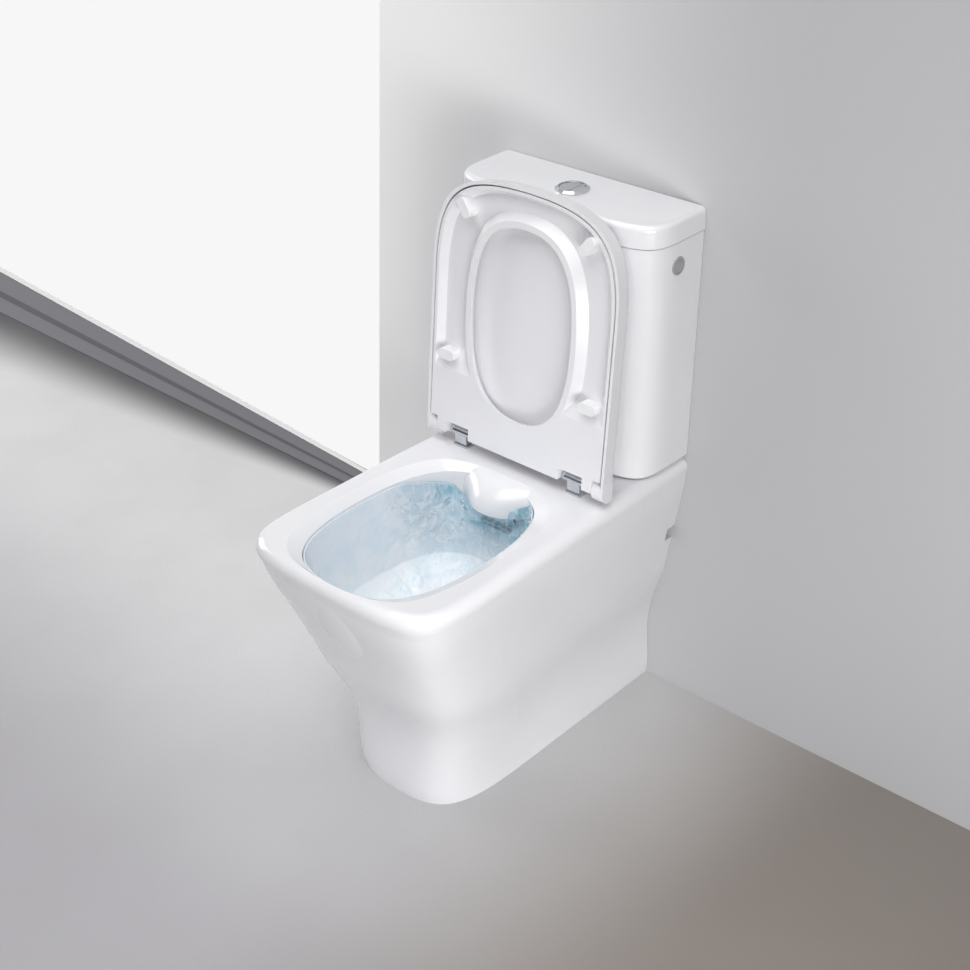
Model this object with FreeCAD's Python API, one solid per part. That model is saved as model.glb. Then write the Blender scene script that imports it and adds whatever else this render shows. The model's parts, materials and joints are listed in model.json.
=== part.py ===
import FreeCAD, Part
import math
import os

V = FreeCAD.Vector

# Close-coupled back to wall toilet, in millimetres.
# The floor is z = 0, the wall is the plane y = wall_y, and the toilet faces -Y.
# x = 0 is its plane of symmetry. The seat and the lid stand open, as stored here.

# Driving dimensions
overall_depth = 577.0
cistern_width = 357.0
suite_height = 805.0
deck_height = 415.0
wall_y = overall_depth / 2

# General fits
cut_overrun = 5.0
running_clearance = 0.06
loose_clearance = 0.5
ground_clearance = 0.5
match_tolerance = 0.01
full_turn = 360.0
quarter_turn = 90.0

# Pan, outside
rim_side_setback = 0.5
rim_wall_narrowing = 7.0
foot_setback = 69.0
foot_wall_narrowing = 0.5
foot_reach = 464.0
foot_corner_run = 158.0
rim_corner_run = 118.0
skirt_wall = 12.0
deck_thickness = 24.0
lip_round = 17.0
notch_height = 23.0
notch_depth = 18.0
notch_floor = 270.0

# Height, reach, half width at the front, half width at the wall, each from foot to rim
pan_section_shares = (
    (0.0, 0.0, 0.0, 0.0),
    (0.16, 0.03, 0.03, 0.0),
    (0.315, 0.07, 0.20, 0.055),
    (0.475, 0.31, 0.455, 0.37),
    (0.635, 0.52, 0.625, 0.59),
    (0.79, 0.745, 0.80, 0.79),
    (0.91, 0.89, 0.93, 0.925),
)
foot_handle_share = 0.82
rim_handle_share = 0.95

# Pan, rim and bowl
rim_side_width = 57.0
rim_front_width = 21.0
opening_rear = 216.0
opening_drop = 9.0
band_side = 18.0
band_front = 8.0
bowl_wall = 11.0
sump_half_width = 37.0
sump_half_length = 37.0
sump_centre = 380.0
sump_height_share = 0.24
opening_handle_share = 0.72
band_handle_share = 0.80
sump_handle_share = 0.56
# Depth below the opening, and how far the outline has closed towards the sump
bowl_section_shares = ((0.0, 0.0), (0.10, 0.02), (0.30, 0.15), (0.52, 0.42), (0.74, 0.74), (1.0, 1.0))

# Pan, tongue that hides the flush outlet at the back of the bowl
tongue_side_gap = 25.0
tongue_reach = 260.0
tongue_side_reach = 230.0
tongue_root = 199.0
tongue_thickness = 14.0
tongue_drop = 40.0
tongue_side_drop = 28.0
tongue_crown_share = 0.62
tongue_brow_share = 0.45
# Sections: share of the half width, of the way to the side reach, of the way to the side drop
tongue_section_shares = ((0.0, 0.0, 0.0), (0.25, 0.15, 0.0), (0.5, 0.66, 0.05),
                         (0.7, 1.0, 0.25), (0.85, 1.0, 0.6), (1.0, 0.85, 1.0))

# Pan, flush channel under the deck
channel_half_width = 30.0
channel_height = 24.0
channel_wall = 11.0
channel_back = 30.0
channel_front = 247.0

# Pan, trap and outlet
trap_bore = 76.0
trap_wall = 13.0
trap_bend = 62.0
rise_reach = 272.0
weir_reach = 204.0
weir_height_share = 0.695
outlet_height = 180.0
outlet_turn_reach = 118.0
outlet_end = 48.0

# Cistern
cistern_side_setback = 1.2
cistern_side_taper = 10.6
cistern_front_setback = 0.8
cistern_front_taper = 2.7
cistern_corner_run = 71.0
cistern_handle_share = 0.93
cistern_wall = 9.0
cistern_floor = 10.0
cistern_foot_round = 6.0
mouth_step = 4.0
pad_thickness = 2.0
pad_radius = 11.0
pad_side_gap = 50.0
pad_reaches = (26.0, 96.0)

# Cistern lid
lid_depth = 122.5
lid_height = 32.0
lid_joint = 1.5
lid_wall = 9.0
lid_edge_round = 8.0
lid_rib = 5.0
lid_rib_depth = 7.0

# Side plug
plug_drop = 67.5
plug_reach = 55.5
plug_radius = 12.8
plug_head = 2.0
plug_edge_round = 0.6
plug_groove_radius = 10.2
plug_groove = 1.3
plug_groove_depth = 0.7
plug_shank_radius = 8.0
plug_nut_radius = 12.5
plug_nut_length = 7.0
plug_washer = 2.0
plug_tail = 14.0
plug_seat_gap = 1.3

# Coupling of cistern and pan
flush_reach = 63.5
recess_radius = 53.0
recess_depth = 20.0
gasket_wall = 8.0
inlet_radius = 34.0
bolt_place_share = 0.558
bolt_radius = 4.0
bolt_hole_radius = 6.0
bolt_head_radius = 8.0
bolt_head_height = 5.0
bolt_tail = 30.0
seal_radius = 13.0
seal_height = 8.0
seal_tip_share = 0.72
washer_radius = 12.0
washer_thickness = 1.6
wing_nut_radius = 9.0
wing_nut_height = 10.0
wing_span = 30.0
wing_thickness = 4.0
wing_high_share = 0.4
wing_low_share = 1.4

# Flush valve
valve_tail_radius = 30.0
valve_bore_radius = 24.0
valve_hole_radius = 32.0
valve_flange_radius = 43.0
valve_flange = 5.0
valve_tail_length = 25.0
base_seal = 4.0
backnut_radius = 42.0
backnut_height = 11.0
tower_radius = 36.0
tower_wall = 3.0
tower_step = 78.0
tower_neck_radius = 26.0
tower_drop = 90.0
window_width = 22.0
window_height = 44.0
window_sill = 14.0
window_count = 4
head_radius = 30.0
head_height = 12.0
lift_radius = 13.0
lift_wall = 2.5
lift_drop = 122.0
lift_seal_radius = 29.0
lift_seal_thickness = 4.0
guide_clearance = 0.4
sleeve_overlap = 28.0
seal_gap = 0.3

# Push button
bezel_radius = 24.5
bezel_height = 4.5
bezel_lip_share = 0.45
bezel_bore_radius = 18.9
bezel_barrel_radius = 21.0
bezel_hole_radius = 21.5
bezel_floor_drop = 16.5
bezel_floor = 3.0
bezel_wall = 3.0
bezel_barrel_length = 28.0
button_radius = 18.6
button_thickness = 7.0
button_sink = 1.0
button_split_x = 5.0
button_gap = 0.8
button_edge_round = 1.0
rod_radius = 2.5
full_rod_x = -6.0
half_rod_x = 10.0
rod_engagement = 8.0
spring_radius = 4.2
spring_wire = 0.45
spring_turns = 4
wire_sides = 6
button_nut_radius = 28.0
button_nut_height = 7.0
nut_scallops = 6
nut_scallop_radius = 4.0

# Fill valve
fill_side_gap = 43.0
fill_reach = 60.0
fill_shank_radius = 10.48
fill_bore_radius = 6.5
fill_hole_radius = 12.0
fill_deck_hole_radius = 23.0
fill_shank_length = 39.0
fill_relief_radius = 9.4
fill_relief = 2.5
fill_flange_radius = 18.0
fill_flange = 4.0
fill_washer = 3.0
fill_nut_radius = 17.0
fill_nut_height = 9.0
hexagon_sides = 6
fill_column_radius = 12.0
fill_column_drop = 100.0
fill_cap_radius = 17.0
fill_cap_height = 22.0
float_radius = 29.0
float_height = 64.0
float_drop = 134.0
float_collar_radius = 16.0
float_collar = 4.0
float_wall = 2.5
float_bore_gap = 0.5
float_rod_radius = 2.0
float_rod_offset = 22.0
float_knob_radius = 3.5
float_knob_height = 3.0
float_knob_gap = 3.0
arm_length = 38.0
arm_width = 9.0
arm_thickness = 5.0
arm_lift = 5.0
arm_end = 8.0
arm_eye_radius = 4.5
arm_pin_radius = 2.0
arm_slot_half = 7.0
arm_slot_width = 5.4
arm_ear_thickness = 3.0
arm_side_gap = 0.4

# Seat hinges
hinge_reach = 181.0
hinge_rise = 22.0
open_angle = 95.8
barrel_length = 41.0
barrel_end_gap = 1.0
barrel_radius = 7.0
barrel_edge_round = 1.2
post_width = 22.0
post_depth = 12.0
post_flare = 2.5
post_foot_height = 3.0
pin_radius = 3.5
pin_depth = 20.0
pin_end_gap = 1.0
damper_radius = 5.0
damper_length = 19.0
stud_radius = 4.0
stud_hole_radius = 8.0
stud_length = 56.0
stud_engagement = 10.0
stud_washer_radius = 14.0
stud_washer_thickness = 4.0

# Seat ring, measured from the hinge axis
seat_side_gap = 6.8
seat_front_gap = 5.9
seat_corner_run = 147.0
seat_handle_share = 0.783
seat_under = 15.0
seat_over = 4.0
seat_rear = -3.0
seat_top_round = 5.0
seat_draft = 1.5
seat_side_width = 68.2
hole_near = 56.5
seat_front_width = 50.1
hole_handle_share = 0.70
hole_flare = 12.0
hole_section_shares = ((0.0, 0.0), (0.45, 0.22), (1.0, 1.0))
channel_start = 97.0
channel_depth = 12.0
channel_end_run = 32.0
seat_edge_wall = 4.5
seat_edge_draft = 7.0
inner_lip = 9.0
inner_lip_draft = 11.0
seat_ear_length = 16.4
seat_ear_gap = 1.1
seat_ear_radius = 7.5
hinge_bay_half_gap = 2.0
hinge_bay_depth = 15.0
corner_bay_gap = 0.6
corner_bay_depth = 18.0
buffer_length = 30.0
buffer_width = 15.0
buffer_round = 7.0
buffer_seat = 14.0
# Places of the buffers: share of the half width, share of the way to the front, turn in degrees
buffer_place_shares = ((0.8166, 0.311, 0.0), (0.6847, 0.8867, 52.0))

# Seat lid, measured from the hinge axis
cover_side_setback = 12.0
cover_front_setback = 1.0
cover_wall = 4.2
cover_under = 15.0
cover_over = 11.5
cover_roof = 4.0
cover_rear = -10.0
cover_edge_round = 7.0
cover_corner_run = 147.0
ear_depth = 20.0
ear_radius = 15.0
ear_block = 15.0
cover_buffer_radius = 6.0
cover_buffer_place_shares = ((0.6867, 0.2405), (0.6084, 0.7924))


# Places that follow from the driving dimensions
sump_height = deck_height * sump_height_share
weir_height = deck_height * weir_height_share
under_deck = deck_height - deck_thickness
cistern_foot = deck_height + pad_thickness
cistern_rim = suite_height - lid_height - lid_joint
cistern_half_at_top = cistern_width / 2 - cistern_side_setback
cistern_half_at_foot = cistern_half_at_top - cistern_side_taper
cistern_depth_at_top = lid_depth - cistern_front_setback
cistern_depth_at_foot = cistern_depth_at_top - cistern_front_taper
inside_floor = cistern_foot + cistern_floor
pad_x = cistern_half_at_foot - pad_side_gap
plug_height = suite_height - plug_drop
valve_tail_end = cistern_foot - valve_tail_length
tower_top = suite_height - tower_drop
lift_top = suite_height - lift_drop
fill_x = fill_side_gap - cistern_half_at_foot
fill_shank_end = cistern_foot - fill_shank_length
fill_column_top = suite_height - fill_column_drop
float_top = suite_height - float_drop
bolt_x = valve_flange_radius + (-fill_x - fill_flange_radius - valve_flange_radius) * bolt_place_share
rim_half_width = cistern_width / 2 - rim_side_setback
rim_half_at_wall = rim_half_width - rim_wall_narrowing
foot_half_width = rim_half_width - foot_setback
foot_half_at_wall = foot_half_width - foot_wall_narrowing
opening_half_width = rim_half_width - rim_side_width
opening_front = overall_depth - rim_front_width
tongue_half_width = opening_half_width - tongue_side_gap
cover_half_width = rim_half_width - cover_side_setback
cover_front = overall_depth - hinge_reach - cover_front_setback
ear_inner_x = cover_half_width - ear_depth
seat_half_width = cover_half_width - seat_side_gap
seat_front = cover_front - seat_front_gap
seat_ear_outer_x = ear_inner_x - seat_ear_gap
seat_ear_inner_x = seat_ear_outer_x - seat_ear_length
corner_bay_x = ear_inner_x - corner_bay_gap
hole_half_width = seat_half_width - seat_side_width
hole_far = seat_front - seat_front_width
hinge_height = deck_height + hinge_rise
barrel_outer_x = seat_ear_inner_x - barrel_end_gap
barrel_inner_x = barrel_outer_x - barrel_length
post_x = (barrel_inner_x + barrel_outer_x) / 2
buffer_places = [(seat_half_width * aside, seat_front * ahead, turn)
                 for aside, ahead, turn in buffer_place_shares]
cover_buffer_places = [(cover_half_width * aside, cover_front * ahead)
                       for aside, ahead in cover_buffer_place_shares]


# Helpers

def plan(x, reach, z):
    """A point at a distance in front of the wall."""
    return V(x, wall_y - reach, z)


def line(a, b):
    return Part.LineSegment(a, b).toShape()


def bezier(*poles):
    curve = Part.BezierCurve()
    curve.setPoles(list(poles))
    return curve.toShape()


def between(low, high, share):
    return low + (high - low) * share


def tongue_outline(z, base, half_base, half_front, reach, corner_run, handle):
    """A flat outline with a straight back, two flanks and a soft front."""
    start = reach - corner_run
    turn = start + corner_run * handle
    return Part.Wire([
        line(plan(-half_base, base, z), plan(half_base, base, z)),
        line(plan(half_base, base, z), plan(half_front, start, z)),
        bezier(plan(half_front, start, z), plan(half_front, turn, z),
               plan(half_front * handle, reach, z), plan(0, reach, z)),
        bezier(plan(0, reach, z), plan(-half_front * handle, reach, z),
               plan(-half_front, turn, z), plan(-half_front, start, z)),
        line(plan(-half_front, start, z), plan(-half_base, base, z)),
    ])


def oval_outline(z, half_width, rear, front, handle):
    """A closed squared oval between two distances from the wall."""
    middle = (rear + front) / 2
    half = (front - rear) / 2
    corners = [(half_width, 0), (0, half), (-half_width, 0), (0, -half)]
    edges = []
    for i, (x0, r0) in enumerate(corners):
        x1, r1 = corners[(i + 1) % len(corners)]
        if r0 == 0:
            inner = ((x0, r1 * handle), (x0 * handle, r1))
        else:
            inner = ((x1 * handle, r0), (x1, r0 * handle))
        points = [(x0, r0), inner[0], inner[1], (x1, r1)]
        edges.append(bezier(*[plan(x, middle + r, z) for x, r in points]))
    return Part.Wire(edges)


def loft(wires, ruled=False):
    return Part.makeLoft(wires, True, ruled)


def upright(radius, low, high, x, reach):
    """A cylinder that stands between two heights."""
    return Part.makeCylinder(radius, high - low, plan(x, reach, low))


def tube(outer, inner, low, high, x, reach):
    hollow = upright(inner, low - cut_overrun, high + cut_overrun, x, reach)
    return upright(outer, low, high, x, reach).cut(hollow)


def block(x0, x1, reach0, reach1, z0, z1):
    """A box between two distances from the wall."""
    return Part.makeBox(x1 - x0, reach1 - reach0, z1 - z0, plan(x0, reach1, z0))


def revolved(profile, x, reach):
    """A body of revolution about an upright axis, from (radius, height) pairs."""
    points = [plan(x + radius, reach, height) for radius, height in profile]
    face = Part.Face(Part.makePolygon(points + points[:1]))
    return face.revolve(plan(x, reach, 0), V(0, 0, 1), full_turn)


def prism(radius, sides, low, high, x, reach):
    """An upright prism with a regular outline."""
    step = 2 * math.pi / sides
    corners = [plan(x + radius * math.cos(i * step), reach + radius * math.sin(i * step), low)
               for i in range(sides)]
    return Part.Face(Part.makePolygon(corners + corners[:1])).extrude(V(0, 0, high - low))


def mirrored(shape):
    return shape.mirror(V(0, 0, 0), V(1, 0, 0))


def pair(shape):
    return Part.makeCompound([shape, mirrored(shape)])


def opened(shape):
    """Turns a piece from its closed place to where it stands open."""
    return shape.rotated(plan(0, hinge_reach, hinge_height), V(1, 0, 0), -open_angle)


def edges_where(shape, test):
    return [edge for edge in shape.Edges if test(edge)]


def lies_at(edge, height):
    box = edge.BoundBox
    return abs(box.ZMin - height) < match_tolerance and abs(box.ZMax - height) < match_tolerance


def against_wall(shape):
    """Cuts a piece off flat where the wall is."""
    beyond = block(-cistern_width, cistern_width, -overall_depth, 0,
                   -cut_overrun, suite_height + cut_overrun)
    return shape.cut(beyond)


def save(name, shape):
    shape.exportStep("parts/" + name + ".step")


# Pan

def pan_sections(inset, back):
    """The outlines of the skirt from the floor up to the foot of the lip."""
    wires = []
    for height, reach, front_half, wall_half in pan_section_shares:
        wires.append(tongue_outline(
            between(0, deck_height, height), back,
            between(foot_half_at_wall, rim_half_at_wall, wall_half) - inset,
            between(foot_half_width, rim_half_width, front_half) - inset,
            between(foot_reach, overall_depth, reach) - inset,
            between(foot_corner_run, rim_corner_run, height),
            between(foot_handle_share, rim_handle_share, height)))
    return wires


def lip_outline(inset, back):
    return tongue_outline(deck_height, back, rim_half_at_wall - inset, rim_half_width - inset,
                          overall_depth - inset, rim_corner_run, rim_handle_share)


def pan_outside():
    sections = pan_sections(0, -cut_overrun)
    body = loft(sections)
    lip = loft([sections[-1], lip_outline(0, -cut_overrun)], True)
    rolled = edges_where(lip, lambda e: lies_at(e, deck_height) and e.BoundBox.YMin < wall_y)
    return body.fuse(lip.makeFillet(lip_round, rolled))


def bowl_outline(share, wall):
    """The bowl's outline at a share of its depth, grown by a wall."""
    depth, closing = share
    z = between(deck_height - opening_drop, sump_height, depth)
    half_width = between(opening_half_width, sump_half_width, closing)
    rear = between(opening_rear, sump_centre - sump_half_length, closing)
    front = between(opening_front, sump_centre + sump_half_length, closing)
    handle = between(opening_handle_share, sump_handle_share, closing)
    return oval_outline(z, half_width + wall, rear - wall, front + wall, handle)


def trap_path():
    """The trap's centre line: back from the sump, up over the weir, down, and level to the outlet."""
    corners = [(sump_centre, sump_height), (rise_reach, sump_height), (weir_reach, weir_height),
               (outlet_turn_reach, outlet_height), (outlet_end, outlet_height)]
    points = [plan(0, reach, height) for reach, height in corners]
    edges = []
    start = points[0]
    for before, corner, after in zip(points, points[1:], points[2:]):
        incoming = (corner - before).normalize()
        outgoing = (after - corner).normalize()
        half_turn = incoming.getAngle(outgoing) / 2
        run = trap_bend * math.tan(half_turn)
        first = corner - incoming * run
        last = corner + outgoing * run
        bisector = (outgoing - incoming).normalize()
        centre = corner + bisector * (trap_bend / math.cos(half_turn))
        middle = centre - bisector * trap_bend
        edges.append(line(start, first))
        edges.append(Part.Arc(first, middle, last).toShape())
        start = last
    edges.append(line(start, points[-1]))
    return Part.Wire(edges)


def trap_tube(radius):
    """The trap with a round bottom where the sump of the bowl runs into it."""
    path = trap_path()
    start = path.Edges[0].valueAt(path.Edges[0].FirstParameter)
    heading = path.Edges[0].tangentAt(path.Edges[0].FirstParameter)
    profile = Part.Wire([Part.makeCircle(radius, start, heading)])
    return path.makePipeShell([profile], True, False).fuse(Part.makeSphere(radius, start))


def tongue():
    """The convex ceramic tongue at the back of the bowl, lofted from side to side."""
    back_under = deck_height - tongue_drop - tongue_thickness
    wires = []
    left_shares = [(-aside, back, rise) for aside, back, rise in reversed(tongue_section_shares[1:])]
    for aside, back, rise in left_shares + list(tongue_section_shares):
        x = tongue_half_width * aside
        reach = between(tongue_reach, tongue_side_reach, back)
        crown = between(tongue_root, reach, tongue_crown_share)
        drop = between(tongue_drop, tongue_side_drop, rise)
        under = deck_height - drop
        brow = deck_height - drop * tongue_brow_share
        wires.append(Part.Wire([
            bezier(plan(x, tongue_root, deck_height), plan(x, crown, deck_height),
                   plan(x, reach, brow), plan(x, reach, under)),
            line(plan(x, reach, under), plan(x, tongue_root, back_under)),
            line(plan(x, tongue_root, back_under), plan(x, tongue_root, deck_height)),
        ]))
    return loft(wires)


def make_pan():
    outside = pan_outside()
    inner_sections = pan_sections(skirt_wall, -cut_overrun * 2)
    upper_void = loft([inner_sections[-1], lip_outline(skirt_wall, -cut_overrun * 2)], True)
    void = loft(inner_sections).fuse(upper_void)
    above = block(-cistern_width, cistern_width, -cistern_width, overall_depth, under_deck, suite_height)
    ground = loft([inner_sections[0], inner_sections[0].translated(V(0, 0, -cut_overrun))], True)
    void = void.cut(above)
    shell = outside.cut(void).cut(ground)

    bowl_solid = loft([bowl_outline(share, bowl_wall) for share in bowl_section_shares])
    channel_top = deck_height - tongue_drop - tongue_thickness
    channel_block = block(-channel_half_width - channel_wall, channel_half_width + channel_wall,
                          channel_back - channel_wall, opening_rear,
                          channel_top - channel_height - channel_wall, under_deck + skirt_wall)
    inlet_wall = upright(inlet_radius + channel_wall, channel_top - channel_height, under_deck + skirt_wall,
                         0, flush_reach)
    shell = shell.fuse([bowl_solid, channel_block, inlet_wall, trap_tube(trap_bore / 2 + trap_wall)])

    bowl_void = loft([bowl_outline(share, 0) for share in bowl_section_shares])
    opening_z = deck_height - opening_drop
    rim_cut = loft([bowl_outline(bowl_section_shares[0], 0),
                    oval_outline(deck_height, opening_half_width + band_side, opening_rear - band_front,
                                 opening_front + band_front, band_handle_share)], True)
    channel = block(-channel_half_width, channel_half_width, channel_back, channel_front,
                    channel_top - channel_height, channel_top)
    inlet = upright(inlet_radius, channel_top - channel_height, deck_height + cut_overrun, 0, flush_reach)
    pan = shell.cut(bowl_void).cut(rim_cut).fuse(tongue())
    pan = pan.cut(channel.fuse(inlet)).cut(trap_tube(trap_bore / 2))

    recess = upright(recess_radius, deck_height - recess_depth, deck_height + cut_overrun, 0, flush_reach)
    holes = [recess]
    for side in (-1, 1):
        holes.append(upright(bolt_hole_radius, under_deck - cut_overrun, deck_height + cut_overrun,
                             side * bolt_x, flush_reach))
        holes.append(upright(stud_hole_radius, under_deck - cut_overrun, deck_height + cut_overrun,
                             side * post_x, hinge_reach))
    holes.append(upright(fill_deck_hole_radius, under_deck - cut_overrun, deck_height + cut_overrun,
                         fill_x, fill_reach))
    notch = block(-cistern_width, cistern_width, -cut_overrun, notch_depth,
                  notch_floor, notch_floor + notch_height)
    return against_wall(pan.cut(Part.makeCompound(holes)).cut(notch))


# Cistern

def cistern_outline(z, inset, back=0.0):
    share = (z - cistern_foot) / (cistern_rim - cistern_foot)
    half = between(cistern_half_at_foot, cistern_half_at_top, share) - inset
    depth = between(cistern_depth_at_foot, cistern_depth_at_top, share) - inset
    return tongue_outline(z, back + inset, half, half, depth, cistern_corner_run, cistern_handle_share)


def cistern_side(z):
    """Half width of the cistern at a height, and its lean in degrees."""
    share = (z - cistern_foot) / (cistern_rim - cistern_foot)
    lean = math.degrees(math.atan2(cistern_half_at_top - cistern_half_at_foot, cistern_rim - cistern_foot))
    return between(cistern_half_at_foot, cistern_half_at_top, share), lean


def sideways(shape):
    """Turns a piece made about an upright axis onto the cistern's right side."""
    half, lean = cistern_side(plug_height)
    turned = shape.rotated(V(0, 0, 0), V(0, 1, 0), quarter_turn + lean)
    return turned.translated(plan(half, plug_reach, plug_height))


def make_cistern():
    body = loft([cistern_outline(cistern_foot, 0, -cut_overrun),
                 cistern_outline(cistern_rim, 0, -cut_overrun)], True)
    rounded = edges_where(body, lambda e: lies_at(e, cistern_foot)
                          and e.BoundBox.YMin < wall_y - pad_radius)
    body = body.makeFillet(cistern_foot_round, rounded)
    mouth = loft([cistern_outline(cistern_rim - cut_overrun, mouth_step, 0),
                  cistern_outline(cistern_rim + lid_joint, mouth_step, 0)], True)
    body = body.fuse(mouth)
    inside = loft([cistern_outline(cistern_foot + cistern_floor, cistern_wall),
                   cistern_outline(cistern_rim + cut_overrun, cistern_wall)], True)
    low = cistern_foot - cut_overrun
    high = cistern_foot + cistern_floor + cut_overrun
    holes = [upright(valve_hole_radius, low, high, 0, flush_reach),
             upright(fill_hole_radius, low, high, fill_x, fill_reach)]
    for side in (-1, 1):
        holes.append(upright(bolt_hole_radius, low, high, side * bolt_x, flush_reach))
    side_hole = sideways(plug_bar(plug_shank_radius + loose_clearance, -cistern_wall * 2, cut_overrun))
    return against_wall(body.cut(inside).cut(Part.makeCompound(holes)).cut(side_hole))


def make_cistern_pads():
    return Part.makeCompound([upright(pad_radius, deck_height, cistern_foot, side * pad_x, reach)
                              for side in (-1, 1) for reach in pad_reaches])


def lid_outline(z, inset, back=0.0):
    return tongue_outline(z, back + inset, cistern_width / 2 - inset, cistern_width / 2 - inset,
                          lid_depth - inset, cistern_corner_run, cistern_handle_share)


def make_cistern_lid():
    low = suite_height - lid_height
    body = loft([lid_outline(low, 0, -cut_overrun), lid_outline(suite_height, 0, -cut_overrun)], True)
    body = body.makeFillet(lid_edge_round, edges_where(body, lambda e: lies_at(e, suite_height)
                                                       and e.BoundBox.YMin < wall_y))
    hollow = loft([lid_outline(low - cut_overrun, cistern_wall),
                   lid_outline(suite_height - lid_wall, cistern_wall)], True)
    rib_low = cistern_rim - lid_rib_depth
    rib_inset = cistern_wall + lid_joint + loose_clearance
    rib = loft([lid_outline(rib_low, rib_inset), lid_outline(low, rib_inset)], True)
    rib = rib.cut(loft([lid_outline(rib_low - cut_overrun, rib_inset + lid_rib),
                        lid_outline(low + cut_overrun, rib_inset + lid_rib)], True))
    upper = loft([lid_outline(low, cistern_wall), lid_outline(low + lid_rib, cistern_wall)], True)
    upper = upper.cut(loft([lid_outline(low - cut_overrun, rib_inset + lid_rib),
                            lid_outline(low + lid_rib + cut_overrun, rib_inset + lid_rib)], True))
    button_hole = upright(bezel_hole_radius, low, suite_height + cut_overrun, 0, flush_reach)
    return against_wall(body.cut(hollow).fuse([rib, upper]).cut(button_hole))


def plug_bar(radius, low, high):
    """A round bar of the side plug, before it is turned sideways. The cistern's face is at 0."""
    return Part.makeCylinder(radius, high - low, V(0, 0, low))


plug_washer_top = -cistern_wall - plug_seat_gap
plug_nut_top = plug_washer_top - plug_washer


def make_side_plug():
    head = plug_bar(plug_radius, 0, plug_head)
    head = head.makeFillet(plug_edge_round, edges_where(head, lambda e: lies_at(e, plug_head)))
    groove = plug_bar(plug_groove_radius, plug_head - plug_groove_depth, plug_head + cut_overrun)
    groove = groove.cut(plug_bar(plug_groove_radius - plug_groove, 0, plug_head + cut_overrun))
    shank = plug_bar(plug_shank_radius, -cistern_wall - plug_tail, 0)
    return sideways(head.cut(groove).fuse(shank))


def make_side_plug_washer():
    ring = plug_bar(plug_nut_radius, plug_nut_top, plug_washer_top)
    return sideways(ring.cut(plug_bar(plug_shank_radius, plug_nut_top - cut_overrun, 0)))


def make_side_plug_nut():
    step = 2 * math.pi / hexagon_sides
    corners = [V(plug_nut_radius * math.cos(i * step), plug_nut_radius * math.sin(i * step), plug_nut_top)
               for i in range(hexagon_sides)]
    nut = Part.Face(Part.makePolygon(corners + corners[:1])).extrude(V(0, 0, -plug_nut_length))
    return sideways(nut.cut(plug_bar(plug_shank_radius, -cistern_wall - plug_tail - cut_overrun, 0)))


# Coupling of cistern and pan

def make_coupling_gasket():
    return tube(recess_radius - loose_clearance, recess_radius - gasket_wall, deck_height - recess_depth,
                cistern_foot, 0, flush_reach)


def make_coupling_seals():
    low, high = inside_floor, inside_floor + seal_height
    profile = [(bolt_radius, low), (seal_radius, low), (seal_radius * seal_tip_share, high),
               (bolt_radius, high)]
    return pair(revolved(profile, bolt_x, flush_reach))


def make_coupling_washers():
    seat = inside_floor + seal_height
    upper = tube(washer_radius, bolt_radius, seat, seat + washer_thickness, bolt_x, flush_reach)
    lower = tube(washer_radius, bolt_radius, under_deck - washer_thickness, under_deck, bolt_x, flush_reach)
    return Part.makeCompound([upper, lower, mirrored(upper), mirrored(lower)])


def make_coupling_bolts():
    seat = inside_floor + seal_height + washer_thickness
    head = prism(bolt_head_radius, hexagon_sides, seat, seat + bolt_head_height, bolt_x, flush_reach)
    shank = upright(bolt_radius, under_deck - bolt_tail, seat, bolt_x, flush_reach)
    return pair(head.fuse(shank))


def wing_nut(top, x, reach, bore):
    hub = upright(wing_nut_radius, top - wing_nut_height, top, x, reach)
    wings = block(x - wing_span / 2, x + wing_span / 2,
                  reach - wing_thickness / 2, reach + wing_thickness / 2,
                  top - wing_nut_height * wing_low_share, top - wing_nut_height * wing_high_share)
    hole = upright(bore, top - wing_nut_height * 2, top + cut_overrun, x, reach)
    return hub.fuse(wings).cut(hole)


def make_coupling_nuts():
    return pair(wing_nut(under_deck - washer_thickness, bolt_x, flush_reach, bolt_radius))


# Flush valve

seat_level = inside_floor + base_seal + valve_flange


def make_valve_base():
    profile = [(valve_bore_radius, valve_tail_end), (valve_tail_radius, valve_tail_end),
               (valve_tail_radius, inside_floor + base_seal),
               (valve_flange_radius, inside_floor + base_seal),
               (valve_flange_radius, seat_level), (valve_bore_radius, seat_level)]
    return revolved(profile, 0, flush_reach)


def make_valve_base_seal():
    return tube(valve_flange_radius, valve_tail_radius, inside_floor, inside_floor + base_seal,
                0, flush_reach)


def make_valve_backnut():
    top = cistern_foot
    nut = prism(backnut_radius, hexagon_sides * 2, top - backnut_height, top, 0, flush_reach)
    return nut.cut(upright(valve_tail_radius, top - backnut_height * 2, top + cut_overrun, 0, flush_reach))


def make_valve_tower():
    step = seat_level + tower_step
    profile = [(tower_radius - tower_wall, seat_level), (tower_radius, seat_level), (tower_radius, step),
               (tower_neck_radius, step + tower_radius - tower_neck_radius), (tower_neck_radius, tower_top),
               (tower_neck_radius - tower_wall, tower_top),
               (tower_neck_radius - tower_wall, step + tower_radius - tower_neck_radius - tower_wall),
               (tower_radius - tower_wall, step - tower_wall)]
    tower = revolved(profile, 0, flush_reach)
    sill = seat_level + window_sill
    window = block(-window_width / 2, window_width / 2, flush_reach, flush_reach + tower_radius * 2,
                   sill, sill + window_height)
    centre = plan(0, flush_reach, 0)
    windows = [window.rotated(centre, V(0, 0, 1), i * full_turn / window_count)
               for i in range(window_count)]
    return tower.cut(Part.makeCompound(windows))


def make_lift_tube():
    return tube(lift_radius, lift_radius - lift_wall, seat_level + seal_gap, lift_top, 0, flush_reach)


def make_lift_seal():
    low = seat_level + seal_gap
    return tube(lift_seal_radius, lift_radius, low, low + lift_seal_thickness, 0, flush_reach)


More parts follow.
